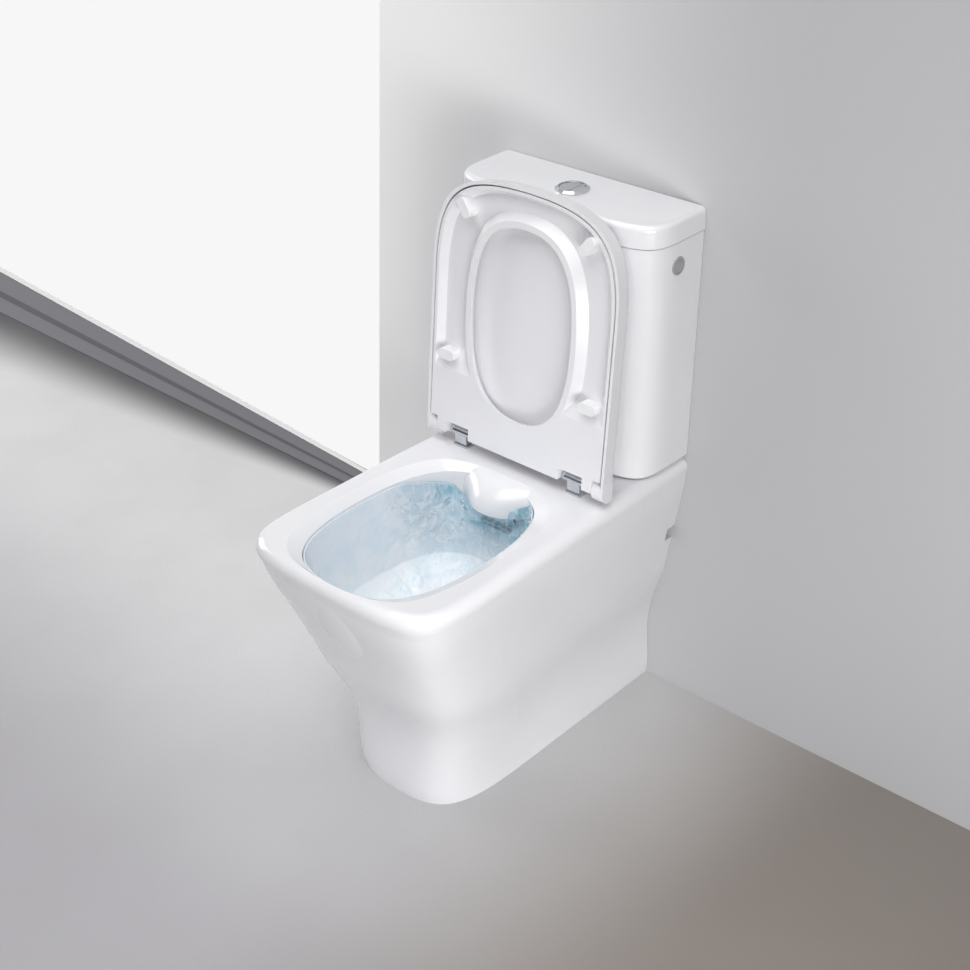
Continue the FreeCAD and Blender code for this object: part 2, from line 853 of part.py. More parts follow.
def make_valve_head():
    head = upright(head_radius, tower_top, tower_top + head_height, 0, flush_reach)
    spigot = tube(tower_neck_radius - tower_wall, lift_radius + guide_clearance, lift_top - sleeve_overlap,
                  tower_top, 0, flush_reach)
    return head.fuse(spigot).cut(rod_guides(tower_top, tower_top + head_height))


# Push button

button_top = suite_height + bezel_height - button_sink
spring_seat = suite_height - bezel_floor_drop


def rod_guides(low, high):
    """The two holes that guide the rods of the button."""
    return Part.makeCompound([upright(rod_radius + guide_clearance, low - cut_overrun, high + cut_overrun,
                                      x, flush_reach) for x in (full_rod_x, half_rod_x)])


def make_button_bezel():
    base = suite_height
    profile = [(0, spring_seat), (bezel_bore_radius, spring_seat), (bezel_bore_radius, base + bezel_height),
               (bezel_barrel_radius, base + bezel_height),
               (bezel_radius, base + bezel_height * bezel_lip_share),
               (bezel_radius, base), (bezel_barrel_radius, base),
               (bezel_barrel_radius, base - bezel_barrel_length),
               (bezel_barrel_radius - bezel_wall, base - bezel_barrel_length),
               (bezel_barrel_radius - bezel_wall, spring_seat - bezel_floor),
               (0, spring_seat - bezel_floor)]
    return revolved(profile, 0, flush_reach).cut(rod_guides(spring_seat - bezel_floor, spring_seat))


def button_disc():
    disc = upright(button_radius, button_top - button_thickness, button_top, 0, flush_reach)
    return disc.makeFillet(button_edge_round, edges_where(disc, lambda e: lies_at(e, button_top)))


def make_full_flush_button():
    away = block(button_split_x - button_gap / 2, bezel_radius, flush_reach - bezel_radius,
                 flush_reach + bezel_radius, tower_top, suite_height + bezel_radius)
    return button_disc().cut(away)


def make_half_flush_button():
    away = block(-bezel_radius, button_split_x + button_gap / 2, flush_reach - bezel_radius,
                 flush_reach + bezel_radius, tower_top, suite_height + bezel_radius)
    return button_disc().cut(away)


def button_rod(x):
    return upright(rod_radius, tower_top + head_height - rod_engagement, button_top - button_thickness,
                   x, flush_reach)


def button_spring(x):
    """A coil round a rod, from the floor of the bezel to the button."""
    low = spring_seat + spring_wire
    high = button_top - button_thickness - spring_wire
    helix = Part.makeHelix((high - low) / spring_turns, high - low, spring_radius)
    start = helix.Edges[0].valueAt(helix.Edges[0].FirstParameter)
    heading = helix.Edges[0].tangentAt(helix.Edges[0].FirstParameter)
    ring = Part.makeCircle(spring_wire, start, heading)
    corners = [ring.valueAt(ring.LastParameter * i / wire_sides) for i in range(wire_sides)]
    profile = Part.makePolygon(corners + corners[:1])
    coil = Part.Wire(helix.Edges).makePipeShell([profile], True, True)
    return coil.translated(plan(x, flush_reach, low))


def make_button_nut():
    top = suite_height - lid_wall
    nut = tube(button_nut_radius, bezel_barrel_radius, top - button_nut_height, top, 0, flush_reach)
    step = 2 * math.pi / nut_scallops
    scallops = [upright(nut_scallop_radius, top - button_nut_height * 2, top + cut_overrun,
                        button_nut_radius * math.cos(i * step),
                        flush_reach + button_nut_radius * math.sin(i * step)) for i in range(nut_scallops)]
    return nut.cut(Part.makeCompound(scallops))


# Fill valve

fill_seat = inside_floor + fill_washer
arm_x = fill_x + float_rod_offset - arm_length
arm_level = fill_column_top + fill_cap_height + arm_lift


def make_fill_valve_body():
    shank = upright(fill_shank_radius, fill_shank_end, fill_seat, fill_x, fill_reach)
    flange = upright(fill_flange_radius, fill_seat, fill_seat + fill_flange, fill_x, fill_reach)
    column = upright(fill_column_radius, fill_seat, fill_column_top, fill_x, fill_reach)
    bore = upright(fill_bore_radius, fill_shank_end - cut_overrun, fill_column_top + cut_overrun,
                   fill_x, fill_reach)
    collar_top = float_top - float_height - seal_gap
    collar = upright(float_collar_radius, collar_top - float_collar, collar_top, fill_x, fill_reach)
    relief_top = cistern_foot - fill_nut_height - loose_clearance
    relief = tube(fill_shank_radius * 2, fill_relief_radius, relief_top - fill_relief, relief_top,
                  fill_x, fill_reach)
    return shank.cut(relief).fuse([flange, column, collar]).cut(bore)


def make_fill_valve_washer():
    return tube(fill_flange_radius, fill_shank_radius, inside_floor, fill_seat, fill_x, fill_reach)


def make_fill_valve_backnut():
    nut = prism(fill_nut_radius, hexagon_sides, cistern_foot - fill_nut_height, cistern_foot,
                fill_x, fill_reach)
    return nut.cut(upright(fill_shank_radius, cistern_foot - fill_nut_height * 2, inside_floor,
                           fill_x, fill_reach))


def across(radius, x, half_length, z):
    """A round bar along Y at the fill valve."""
    return Part.makeCylinder(radius, half_length * 2, plan(x, fill_reach + half_length, z), V(0, 1, 0))


def make_fill_valve_cap():
    cap_top = fill_column_top + fill_cap_height
    cap = upright(fill_cap_radius, fill_column_top, cap_top, fill_x, fill_reach)
    ear_out = arm_width / 2 + arm_side_gap + arm_ear_thickness
    ear_in = arm_width / 2 + arm_side_gap
    ears = across(arm_eye_radius, arm_x, ear_out, arm_level)
    ears = ears.fuse(block(arm_x - arm_eye_radius, arm_x + arm_eye_radius, fill_reach - ear_out,
                           fill_reach + ear_out, cap_top - fill_cap_radius / 2, arm_level))
    gap = block(arm_x - fill_cap_radius, arm_x + fill_cap_radius, fill_reach - ear_in,
                fill_reach + ear_in, cap_top, arm_level + arm_eye_radius * 2)
    pin = across(arm_pin_radius, arm_x, ear_out, arm_level)
    return cap.fuse(ears).cut(gap).fuse(pin)


def make_float_cup():
    inner = fill_column_radius + float_bore_gap
    low = float_top - float_height
    profile = [(inner, low), (inner + float_wall, low), (inner + float_wall, float_top - float_wall),
               (float_radius - float_wall, float_top - float_wall), (float_radius - float_wall, low),
               (float_radius, low), (float_radius, float_top), (inner, float_top)]
    return revolved(profile, fill_x, fill_reach)


def make_float_rod():
    x = fill_x + float_rod_offset
    top = arm_level + arm_thickness / 2 + float_knob_gap
    under = arm_level - arm_thickness / 2 - float_knob_gap
    rod = upright(float_rod_radius, float_top, top, x, fill_reach)
    knob = upright(float_knob_radius, top, top + float_knob_height, x, fill_reach)
    collar = upright(float_knob_radius, under - float_knob_height, under, x, fill_reach)
    return rod.fuse([knob, collar])


def make_float_arm():
    bar = block(arm_x, arm_x + arm_length + arm_end, fill_reach - arm_width / 2, fill_reach + arm_width / 2,
                arm_level - arm_thickness / 2, arm_level + arm_thickness / 2)
    eye = across(arm_eye_radius, arm_x, arm_width / 2, arm_level)
    bore = across(arm_pin_radius + running_clearance, arm_x, arm_width, arm_level)
    x = fill_x + float_rod_offset
    slot = block(x - arm_slot_half, x + arm_slot_half, fill_reach - arm_slot_width / 2,
                 fill_reach + arm_slot_width / 2, arm_level - arm_thickness, arm_level + arm_thickness)
    return bar.fuse(eye).cut(bore).cut(slot)


# Seat hinges

def along(radius, x0, x1):
    """A round bar on the hinge axis."""
    return Part.makeCylinder(radius, x1 - x0, plan(x0, hinge_reach, hinge_height), V(1, 0, 0))


def make_hinge_posts():
    barrel = along(barrel_radius, barrel_inner_x, barrel_outer_x)
    ends = edges_where(barrel, lambda e: e.BoundBox.XLength < running_clearance)
    barrel = barrel.makeFillet(barrel_edge_round, ends)
    foot_top = deck_height + post_foot_height
    column = block(post_x - post_width / 2, post_x + post_width / 2, hinge_reach - post_depth / 2,
                   hinge_reach + post_depth / 2, deck_height, hinge_height)
    foot = block(post_x - post_width / 2 - post_flare, post_x + post_width / 2 + post_flare,
                 hinge_reach - post_depth / 2 - post_flare, hinge_reach + post_depth / 2 + post_flare,
                 deck_height, foot_top)
    corners = edges_where(foot, lambda e: e.BoundBox.ZLength > post_foot_height / 2)
    foot = foot.makeFillet(post_flare, corners)
    bore = along(pin_radius, barrel_outer_x - pin_depth, barrel_outer_x + cut_overrun)
    chamber = along(damper_radius, barrel_outer_x - pin_depth - damper_length, barrel_outer_x - pin_depth)
    socket = upright(stud_radius, deck_height - cut_overrun, deck_height + stud_engagement,
                     post_x, hinge_reach)
    return pair(barrel.fuse([column, foot]).cut(bore).cut(chamber).cut(socket))


def make_hinge_pins():
    return pair(along(pin_radius, barrel_outer_x - pin_depth, cover_half_width - cover_wall - pin_end_gap))


def make_hinge_dampers():
    outer = barrel_outer_x - pin_depth
    return pair(along(damper_radius, outer - damper_length, outer))


def make_hinge_studs():
    return pair(upright(stud_radius, deck_height - stud_length, deck_height + stud_engagement,
                        post_x, hinge_reach))


def make_hinge_washers():
    return pair(tube(stud_washer_radius, stud_radius, under_deck - stud_washer_thickness, under_deck,
                     post_x, hinge_reach))


def make_hinge_nuts():
    return pair(wing_nut(under_deck - stud_washer_thickness, post_x, hinge_reach, stud_radius))


# Seat ring and its lid, both made closed and then turned open

def seat_outline(height, half_width, rear, front, run):
    """A seat outline at a height above the hinge axis, from distances in front of it."""
    return tongue_outline(hinge_height + height, hinge_reach + rear, half_width, half_width,
                          hinge_reach + front, run, seat_handle_share)


def hole_outline(height, grow):
    return oval_outline(hinge_height + height, hole_half_width + grow, hinge_reach + hole_near - grow,
                        hinge_reach + hole_far + grow, hole_handle_share)


def seat_block(x0, x1, front0, front1, low, high):
    return block(x0, x1, hinge_reach + front0, hinge_reach + front1,
                 hinge_height + low, hinge_height + high)


def buffer(x, front, turn):
    """One rubber buffer across the channel of the seat."""
    low = deck_height + ground_clearance
    high = hinge_height - seat_under + buffer_seat
    bar = Part.makeBox(buffer_length, buffer_width, high - low,
                       V(-buffer_length / 2, -buffer_width / 2, low))
    corners = edges_where(bar, lambda e: e.BoundBox.ZLength > buffer_round)
    bar = bar.makeFillet(buffer_round, corners)
    bar = bar.rotated(V(0, 0, 0), V(0, 0, 1), -turn)
    return bar.translated(plan(x, hinge_reach + front, 0))


def seat_channel():
    """The hollow of the underside, open downwards, with sloping sides."""
    low, high = -seat_under, -seat_under + channel_depth
    outer = loft([seat_outline(low, seat_half_width - seat_edge_wall, channel_start,
                               seat_front - seat_edge_wall, seat_corner_run),
                  seat_outline(high, seat_half_width - seat_edge_wall - seat_edge_draft,
                               channel_start + channel_end_run,
                               seat_front - seat_edge_wall - seat_edge_draft, seat_corner_run)], True)
    inner = loft([hole_outline(low, inner_lip), hole_outline(high, inner_lip + inner_lip_draft)], True)
    return outer.cut(inner)


def make_seat_ring():
    ring = loft([seat_outline(-seat_under, seat_half_width, seat_rear, seat_front, seat_corner_run),
                 seat_outline(seat_over, seat_half_width - seat_draft, seat_rear, seat_front - seat_draft,
                              seat_corner_run)], True)
    top = edges_where(ring, lambda e: lies_at(e, hinge_height + seat_over)
                      and e.BoundBox.YMin < wall_y - hinge_reach - channel_start)
    ring = ring.makeFillet(seat_top_round, top)
    hole = loft([hole_outline(between(-seat_under, seat_over, height), hole_flare * flare)
                 for height, flare in hole_section_shares])
    ring = ring.cut(hole).cut(seat_channel())
    bays = []
    for side in (-1, 1):
        x0, x1 = sorted((side * (barrel_inner_x - hinge_bay_half_gap), side * seat_ear_inner_x))
        bays.append(seat_block(x0, x1, seat_rear - cut_overrun, hinge_bay_depth, -seat_under - cut_overrun,
                               seat_over + cut_overrun))
        x0, x1 = sorted((side * corner_bay_x, side * cover_half_width))
        bays.append(seat_block(x0, x1, seat_rear - cut_overrun, corner_bay_depth, -seat_under - cut_overrun,
                               seat_over + cut_overrun))
    ring = ring.cut(Part.makeCompound(bays))
    ear = along(seat_ear_radius, seat_ear_inner_x, seat_ear_outer_x)
    ring = ring.fuse([ear, mirrored(ear)])
    bore = along(pin_radius + running_clearance, seat_ear_inner_x - cut_overrun,
                 seat_ear_outer_x + cut_overrun)
    ring = ring.cut(Part.makeCompound([bore, mirrored(bore)]))
    sockets = Part.makeCompound([buffer(*place) for place in buffer_places])
    return opened(ring.cut(sockets).cut(mirrored(sockets)))


def make_seat_buffers():
    pads = [buffer(*place) for place in buffer_places]
    return opened(Part.makeCompound(pads + [mirrored(pad) for pad in pads]))


def make_seat_lid():
    shell = loft([seat_outline(-cover_under, cover_half_width, cover_rear, cover_front, cover_corner_run),
                  seat_outline(cover_over, cover_half_width - seat_draft, cover_rear,
                               cover_front - seat_draft, cover_corner_run)], True)
    top = edges_where(shell, lambda e: lies_at(e, hinge_height + cover_over))
    shell = shell.makeFillet(cover_edge_round, top)
    roof = cover_over - cover_roof
    inside = loft([seat_outline(-cover_under - cut_overrun, cover_half_width - cover_wall,
                                cover_rear - cut_overrun, cover_front - cover_wall, cover_corner_run),
                   seat_outline(roof, cover_half_width - cover_wall, cover_rear - cut_overrun,
                                cover_front - cover_wall, cover_corner_run)], True)
    shell = shell.cut(inside)
    ear = along(ear_radius, ear_inner_x, cover_half_width)
    ear = ear.common(seat_block(0, cover_half_width, -ear_radius, ear_radius, -ear_radius, roof))
    web = seat_block(ear_inner_x, cover_half_width - cover_wall / 2, 0, ear_block, 0, roof)
    bore = along(pin_radius + running_clearance, ear_inner_x - cut_overrun, cover_half_width - cover_wall)
    skirt_foot = seat_block(cover_half_width - cover_wall, cover_half_width + cut_overrun,
                            cover_rear - cut_overrun, 0, -cover_under - cut_overrun, 0)
    skirt_foot = skirt_foot.cut(along(ear_radius, ear_inner_x, cover_half_width + cut_overrun))
    shell = shell.cut(Part.makeCompound([skirt_foot, mirrored(skirt_foot)]))
    shell = shell.fuse([ear, web, mirrored(ear), mirrored(web)])
    return opened(shell.cut(Part.makeCompound([bore, mirrored(bore)])))


def make_lid_buffers():
    pads = []
    for x, front in cover_buffer_places:
        pads.append(upright(cover_buffer_radius, hinge_height + seat_over + loose_clearance,
                            hinge_height + cover_over - cover_roof, x, hinge_reach + front))
    return opened(Part.makeCompound(pads + [mirrored(pad) for pad in pads]))


# Write every piece

os.makedirs("parts", exist_ok=True)

pieces = {
    "pan": make_pan,
    "cistern": make_cistern,
    "cistern_pads": make_cistern_pads,
    "cistern_lid": make_cistern_lid,
    "side_plug": make_side_plug,
    "side_plug_washer": make_side_plug_washer,
    "side_plug_nut": make_side_plug_nut,
    "coupling_gasket": make_coupling_gasket,
    "coupling_seals": make_coupling_seals,
    "coupling_washers": make_coupling_washers,
    "coupling_bolts": make_coupling_bolts,
    "coupling_nuts": make_coupling_nuts,
    "valve_base": make_valve_base,
    "valve_base_seal": make_valve_base_seal,
    "valve_backnut": make_valve_backnut,
    "valve_tower": make_valve_tower,
    "valve_head": make_valve_head,
    "lift_tube": make_lift_tube,
    "lift_seal": make_lift_seal,
    "button_bezel": make_button_bezel,
    "button_nut": make_button_nut,
    "full_flush_button": make_full_flush_button,
    "full_flush_rod": lambda: button_rod(full_rod_x),
    "full_flush_spring": lambda: button_spring(full_rod_x),
    "half_flush_button": make_half_flush_button,
    "half_flush_rod": lambda: button_rod(half_rod_x),
    "half_flush_spring": lambda: button_spring(half_rod_x),
    "fill_valve_body": make_fill_valve_body,
    "fill_valve_washer": make_fill_valve_washer,
    "fill_valve_backnut": make_fill_valve_backnut,
    "fill_valve_cap": make_fill_valve_cap,
    "float_cup": make_float_cup,
    "float_rod": make_float_rod,
    "float_arm": make_float_arm,
    "hinge_posts": make_hinge_posts,
    "hinge_pins": make_hinge_pins,
    "hinge_dampers": make_hinge_dampers,
    "hinge_studs": make_hinge_studs,
    "hinge_washers": make_hinge_washers,
    "hinge_nuts": make_hinge_nuts,
    "seat_ring": make_seat_ring,
    "seat_buffers": make_seat_buffers,
    "seat_lid": make_seat_lid,
    "lid_buffers": make_lid_buffers,
}

for name, make in pieces.items():
    piece = make()
    save(name, piece)
    box = piece.BoundBox
    print(f"{name:20s} solids {len(piece.Solids)} valid {piece.isValid()} volume {piece.Volume:12.1f} "
          f"x {box.XMin:7.1f} {box.XMax:7.1f} y {box.YMin:7.1f} {box.YMax:7.1f} "
          f"z {box.ZMin:6.1f} {box.ZMax:6.1f}")
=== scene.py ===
# %% [markdown]
# # A back to wall toilet, dressed for its picture
# The CAD model gives every piece its true shape and place. This lesson gives the pieces their
# finishes, sends flush water round the bowl, and sets up the floor, the wall, the lamps and the
# camera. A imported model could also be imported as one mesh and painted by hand. Here the pieces
# stay apart, because the seat, the lid and the buttons have to move.

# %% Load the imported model
import json
import math

import bpy
from mathutils import Matrix, Vector, noise
from mathutils.bvhtree import BVHTree


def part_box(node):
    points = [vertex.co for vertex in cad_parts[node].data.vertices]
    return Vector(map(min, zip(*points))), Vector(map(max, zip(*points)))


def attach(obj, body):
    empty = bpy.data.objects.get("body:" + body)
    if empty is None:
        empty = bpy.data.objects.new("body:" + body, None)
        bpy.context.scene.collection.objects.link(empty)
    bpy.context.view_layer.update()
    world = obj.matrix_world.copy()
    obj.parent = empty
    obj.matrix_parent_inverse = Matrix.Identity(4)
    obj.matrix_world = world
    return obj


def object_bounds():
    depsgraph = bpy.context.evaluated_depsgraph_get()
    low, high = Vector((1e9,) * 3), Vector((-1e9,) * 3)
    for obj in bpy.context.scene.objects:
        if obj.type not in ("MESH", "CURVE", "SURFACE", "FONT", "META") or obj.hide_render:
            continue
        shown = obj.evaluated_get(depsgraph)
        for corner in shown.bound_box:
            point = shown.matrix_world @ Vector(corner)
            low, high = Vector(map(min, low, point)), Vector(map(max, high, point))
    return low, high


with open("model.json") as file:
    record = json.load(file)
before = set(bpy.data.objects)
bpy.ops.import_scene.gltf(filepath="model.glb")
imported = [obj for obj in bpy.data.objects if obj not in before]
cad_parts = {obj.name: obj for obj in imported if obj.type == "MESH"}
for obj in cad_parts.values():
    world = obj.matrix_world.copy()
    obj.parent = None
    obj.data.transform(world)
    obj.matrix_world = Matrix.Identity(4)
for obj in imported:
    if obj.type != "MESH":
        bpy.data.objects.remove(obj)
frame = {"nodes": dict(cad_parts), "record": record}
nodes = frame["nodes"]
cad_box = [[round(float(v), 5) for v in corner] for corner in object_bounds()]
wall_y = cad_box[1][1]

# %% [markdown]
# ## Colours
# Colours are easiest to judge as the numbers a picture shows, from 0 to 255. Blender's sockets want
# linear light, so one small helper turns the first into the second. Every finish uses it.

# %% Turn picture colours into linear colours
def paint(red, green, blue):
    """A linear colour with alpha from picture values between 0 and 255."""
    linear = []
    for value in (red, green, blue):
        share = value / 255
        linear.append(share / 12.92 if share <= 0.04045 else ((share + 0.055) / 1.055) ** 2.4)
    return (*linear, 1.0)


print("mid grey is", [round(v, 3) for v in paint(128, 128, 128)])

# %% [markdown]
# ## Helpers for nodes
# Materials and node groups are both trees of nodes. One helper adds a node, sets its plain values
# and wires its inputs, so that each tree below reads as a short list of steps.

# %% Add and wire a node in one step
def add(tree, kind, properties=None, **inputs):
    """Adds a node. Inputs are plain values, or sockets of other nodes to wire in."""
    node = tree.nodes.new(kind)
    for name, value in (properties or {}).items():
        setattr(node, name, value)
    for name, value in inputs.items():
        by_index = name[0] == "i" and name[1:].isdigit()
        socket = node.inputs[int(name[1:]) if by_index else name.replace("_", " ")]
        if isinstance(value, bpy.types.NodeSocket):
            tree.links.new(value, socket)
        else:
            socket.default_value = value
    return node


def number(tree, operation, first, second=0.0):
    """The output of a Math node."""
    return add(tree, "ShaderNodeMath", {"operation": operation}, i0=first, i1=second).outputs[0]


def vector(tree, operation, first, second=(0.0, 0.0, 0.0)):
    """The outputs of a Vector Math node: a vector, and a number named Value."""
    return add(tree, "ShaderNodeVectorMath", {"operation": operation}, i0=first, i1=second).outputs


def blend_colours(tree, share, first, second):
    """The output of a Mix node on colours."""
    mix = add(tree, "ShaderNodeMix", {"data_type": "RGBA"}, i0=share, i6=first, i7=second)
    return mix.outputs[2]


def ramp(tree, value, low, high, to_low=0.0, to_high=1.0):
    """Moves a value from one range to another with soft ends."""
    node = add(tree, "ShaderNodeMapRange", {"interpolation_type": "SMOOTHSTEP"}, Value=value)
    for name, limit in (("From Min", low), ("From Max", high), ("To Min", to_low), ("To Max", to_high)):
        socket = node.inputs[name]
        if isinstance(limit, bpy.types.NodeSocket):
            tree.links.new(limit, socket)
        else:
            socket.default_value = limit
    return node.outputs["Result"]


def new_group(name, inputs, outputs):
    """An empty shader node group with named sockets."""
    group = bpy.data.node_groups.new(name, "ShaderNodeTree")
    for label, kind, value in inputs:
        socket = group.interface.new_socket(label, in_out="INPUT", socket_type="NodeSocket" + kind)
        socket.default_value = value
    for label, kind in outputs:
        group.interface.new_socket(label, in_out="OUTPUT", socket_type="NodeSocket" + kind)
    return group, group.nodes.new("NodeGroupInput"), group.nodes.new("NodeGroupOutput")


print("node helpers ready")

# %% [markdown]
# ## A group for uneven surfaces
# No glaze, moulding or rubber is one flat value. Its shade drifts a little from place to place, its
# gloss is handled dull in patches, and its skin is never quite flat. The three effects could be
# copied into each material. A node group with named inputs keeps them in one place, and each finish
# gives it its own amounts.

# %% The group for uneven shade, gloss and skin
def make_surface_group():
    group, source, sink = new_group(
        "uneven_surface",
        [("Colour", "Color", (0.8, 0.8, 0.8, 1)), ("Drift Colour", "Color", (0.7, 0.7, 0.7, 1)),
         ("Drift Size", "Float", 0.1), ("Drift Amount", "Float", 0.3),
         ("Roughness", "Float", 0.3), ("Roughness Spread", "Float", 0.05),
         ("Grain Size", "Float", 0.001), ("Grain Height", "Float", 0.00005)],
        [("Colour", "Color"), ("Roughness", "Float"), ("Normal", "Vector")])
    place = add(group, "ShaderNodeTexCoord").outputs["Object"]
    drift_scale = number(group, "DIVIDE", 1.0, source.outputs["Drift Size"])
    drift = add(group, "ShaderNodeTexNoise", Vector=place, Scale=drift_scale, Detail=3.0).outputs[0]
    amount = number(group, "MULTIPLY", ramp(group, drift, 0.35, 0.7), source.outputs["Drift Amount"])
    colour = blend_colours(group, amount, source.outputs["Colour"], source.outputs["Drift Colour"])
    patch_scale = number(group, "MULTIPLY", drift_scale, 2.7)
    patch = add(group, "ShaderNodeTexNoise", Vector=place, Scale=patch_scale, Detail=4.0).outputs[0]
    off_middle = number(group, "SUBTRACT", patch, 0.5)
    swing = number(group, "MULTIPLY", off_middle, source.outputs["Roughness Spread"])
    roughness = number(group, "ADD", source.outputs["Roughness"], number(group, "MULTIPLY", swing, 2.0))
    grain_scale = number(group, "DIVIDE", 1.0, source.outputs["Grain Size"])
    grain = add(group, "ShaderNodeTexNoise", Vector=place, Scale=grain_scale, Detail=2.0).outputs[0]
    bump = add(group, "ShaderNodeBump", Strength=1.0, Height=grain, Distance=source.outputs["Grain Height"])
    group.links.new(colour, sink.inputs["Colour"])
    group.links.new(roughness, sink.inputs["Roughness"])
    group.links.new(bump.outputs["Normal"], sink.inputs["Normal"])
    return group


surface_group = make_surface_group()
print("group", surface_group.name, "has", len(surface_group.nodes), "nodes")

# %% [markdown]
# ## The finishes
# Each finish is one Principled shader fed by the group. A value that is the same all over, such as
# the coat or the index of refraction, sits on the shader's own socket. Glazed ceramic is a white
# body under clear glass, so it gets a thin coat. Seat plastic is a touch cooler and a little less
# sharp in its reflections. Rubber and moulded plastic show a fine grain instead.

# %% A maker of finishes
def finish(name, colour, drift, roughness, spread=0.03, drift_size=0.09, drift_amount=0.5,
           grain_size=0.001, grain_height=0.00002, metallic=0.0, coat=0.0, coat_roughness=0.03,
           ior=1.5):
    """A material whose colour, gloss and skin come from the uneven surface group."""
    material = bpy.data.materials.new(name)
    material.use_nodes = True
    tree = material.node_tree
    shader = tree.nodes["Principled BSDF"]
    skin = tree.nodes.new("ShaderNodeGroup")
    skin.node_tree = surface_group
    for label, value in (("Colour", paint(*colour)), ("Drift Colour", paint(*drift)),
                         ("Drift Size", drift_size), ("Drift Amount", drift_amount),
                         ("Roughness", roughness), ("Roughness Spread", spread),
                         ("Grain Size", grain_size), ("Grain Height", grain_height)):
        skin.inputs[label].default_value = value
    tree.links.new(skin.outputs["Colour"], shader.inputs["Base Color"])
    tree.links.new(skin.outputs["Roughness"], shader.inputs["Roughness"])
    tree.links.new(skin.outputs["Normal"], shader.inputs["Normal"])
    shader.inputs["Metallic"].default_value = metallic
    shader.inputs["IOR"].default_value = ior
    shader.inputs["Coat Weight"].default_value = coat
    shader.inputs["Coat Roughness"].default_value = coat_roughness
    return material


finishes = {
    "glazed_ceramic": finish("glazed_ceramic", (243, 243, 246), (239, 239, 243), 0.13, 0.03, 0.16, 0.6,
                             0.035, 0.0004, coat=0.35),
    "seat_plastic": finish("seat_plastic", (236, 235, 238), (231, 230, 234), 0.19, 0.04, 0.12, 0.5,
                           0.02, 0.00016, ior=1.49),
    "seat_plastic_soft": finish("soft_white_buffer", (240, 241, 242), (232, 233, 234), 0.42, 0.05, 0.02,
                                0.5, 0.0012, 0.00004),
    "white_rubber": finish("white_rubber", (226, 226, 223), (214, 214, 210), 0.55, 0.06, 0.012, 0.6,
                           0.0007, 0.00005),
    "black_rubber": finish("black_rubber", (38, 38, 39), (58, 58, 60), 0.62, 0.08, 0.01, 0.6,
                           0.0006, 0.00006),
    "chrome": finish("polished_chrome", (212, 214, 217), (196, 199, 204), 0.07, 0.03, 0.012, 0.5,
                     0.004, 0.00001, metallic=1.0),
    "steel": finish("plain_stainless", (176, 177, 179), (150, 151, 154), 0.30, 0.08, 0.008, 0.6,
                    0.0009, 0.00003, metallic=1.0),
    "grey_plastic": finish("grey_plastic", (168, 169, 171), (158, 159, 162), 0.38, 0.05, 0.008, 0.6,
                           0.0009, 0.00004),
    "white_plastic": finish("white_moulding", (236, 237, 236), (224, 226, 226), 0.36, 0.06, 0.02, 0.6,
                            0.0011, 0.00004),
    "blue_plastic": finish("blue_moulding", (66, 116, 176), (56, 102, 160), 0.34, 0.06, 0.02, 0.6,
                           0.0011, 0.00004),
    "black_plastic": finish("black_moulding", (40, 40, 42), (54, 54, 57), 0.40, 0.06, 0.01, 0.6,
                            0.0009, 0.00004),
}
print(len(finishes), "finishes:", ", ".join(finishes))

# %% [markdown]
# ## Each CAD piece gets its finish
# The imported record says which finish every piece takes. The slots are filled from it, and the mesh
# itself isn't touched.

# %% Assign the finishes
def dress_nodes():
    worn = {}
    for row in frame["record"]["subparts"]:
        name, slot = row["node"], row["material_slot"]
        for material_slot in nodes[name].material_slots:
            material_slot.material = finishes[slot]
        worn.setdefault(slot, []).append(name)
    return worn


dressed = dress_nodes()
for slot, names in dressed.items():
    print(f"{slot:18s}", len(names))

# %% [markdown]
# ## Where the bowl is
# The flush water clings to the inside of the bowl, so it has to know where that is. The outline
# could be worked out again from the drawing. Asking the CAD mesh is safer: a ray from the middle of
# the bowl stops at the glaze, whatever shape it has there.

# %% Ask the pan where its glaze is
bowl_middle = Vector((0.0, wall_y - 0.386, 0.0))
pan_mesh = nodes["pan"].data
pan_corners = [v.co[:] for v in pan_mesh.vertices]
pan_tree = BVHTree.FromPolygons(pan_corners, [p.vertices[:] for p in pan_mesh.polygons])


def glaze_radius(angle, height):
    """How far the bowl's wall is from its middle, at an angle and a height."""
    start = Vector((bowl_middle.x, bowl_middle.y, height))
    heading = Vector((math.cos(angle), math.sin(angle), 0.0))
    hit = pan_tree.ray_cast(start, heading)[0]
    return (hit - start).length if hit else 0.0


for degrees in (-90, 0, 90):
    radii = [round(1000 * glaze_radius(math.radians(degrees), z)) for z in (0.40, 0.37, 0.30, 0.20, 0.12)]
    print("at", degrees, "degrees the bowl is", radii, "mm wide at five heights")

# %% [markdown]
# ## The flush water
# In the picture the pan is being flushed. Water sweeps round the bare wall of the rimless bowl, pours
# out under the tongue and spins down into the sump. A fluid simulation could make this, but it would
# take minutes on every run. Here the water is one closed skin: its outside follows the glaze, its
# inside is the same shape pushed in by a few millimetres of waves, and a spinning pool closes it.

# %% Values of the water
water_brim = 0.4035
pool_height = 0.262
pool_whirl = 0.026
water_foot = 0.135
water_gap = 0.0012
film = 0.0022
around = 360
channel_mouth = 0.168
clear_level = 0.350
brim_step = 0.001
tongue_point = Vector((0.0, wall_y - 0.235, 0.378))
tongue_squeeze = (0.35, 1.0, 1.0)
print("pool stands", round(1000 * (water_brim - pool_height)), "mm under the brim")

# %% [markdown]
# The tongue at the back stands in front of the bowl's wall, so the water can't reach the brim there.
# At each angle the brim is looked for from the top down, until the ray finds the bowl's own wall again
# and no longer the tongue. The mouth of the flush channel, a hole in the wall, is bridged. Beside the
# tongue the water comes out low, so its edge dips there, more on the left, where most of it runs.

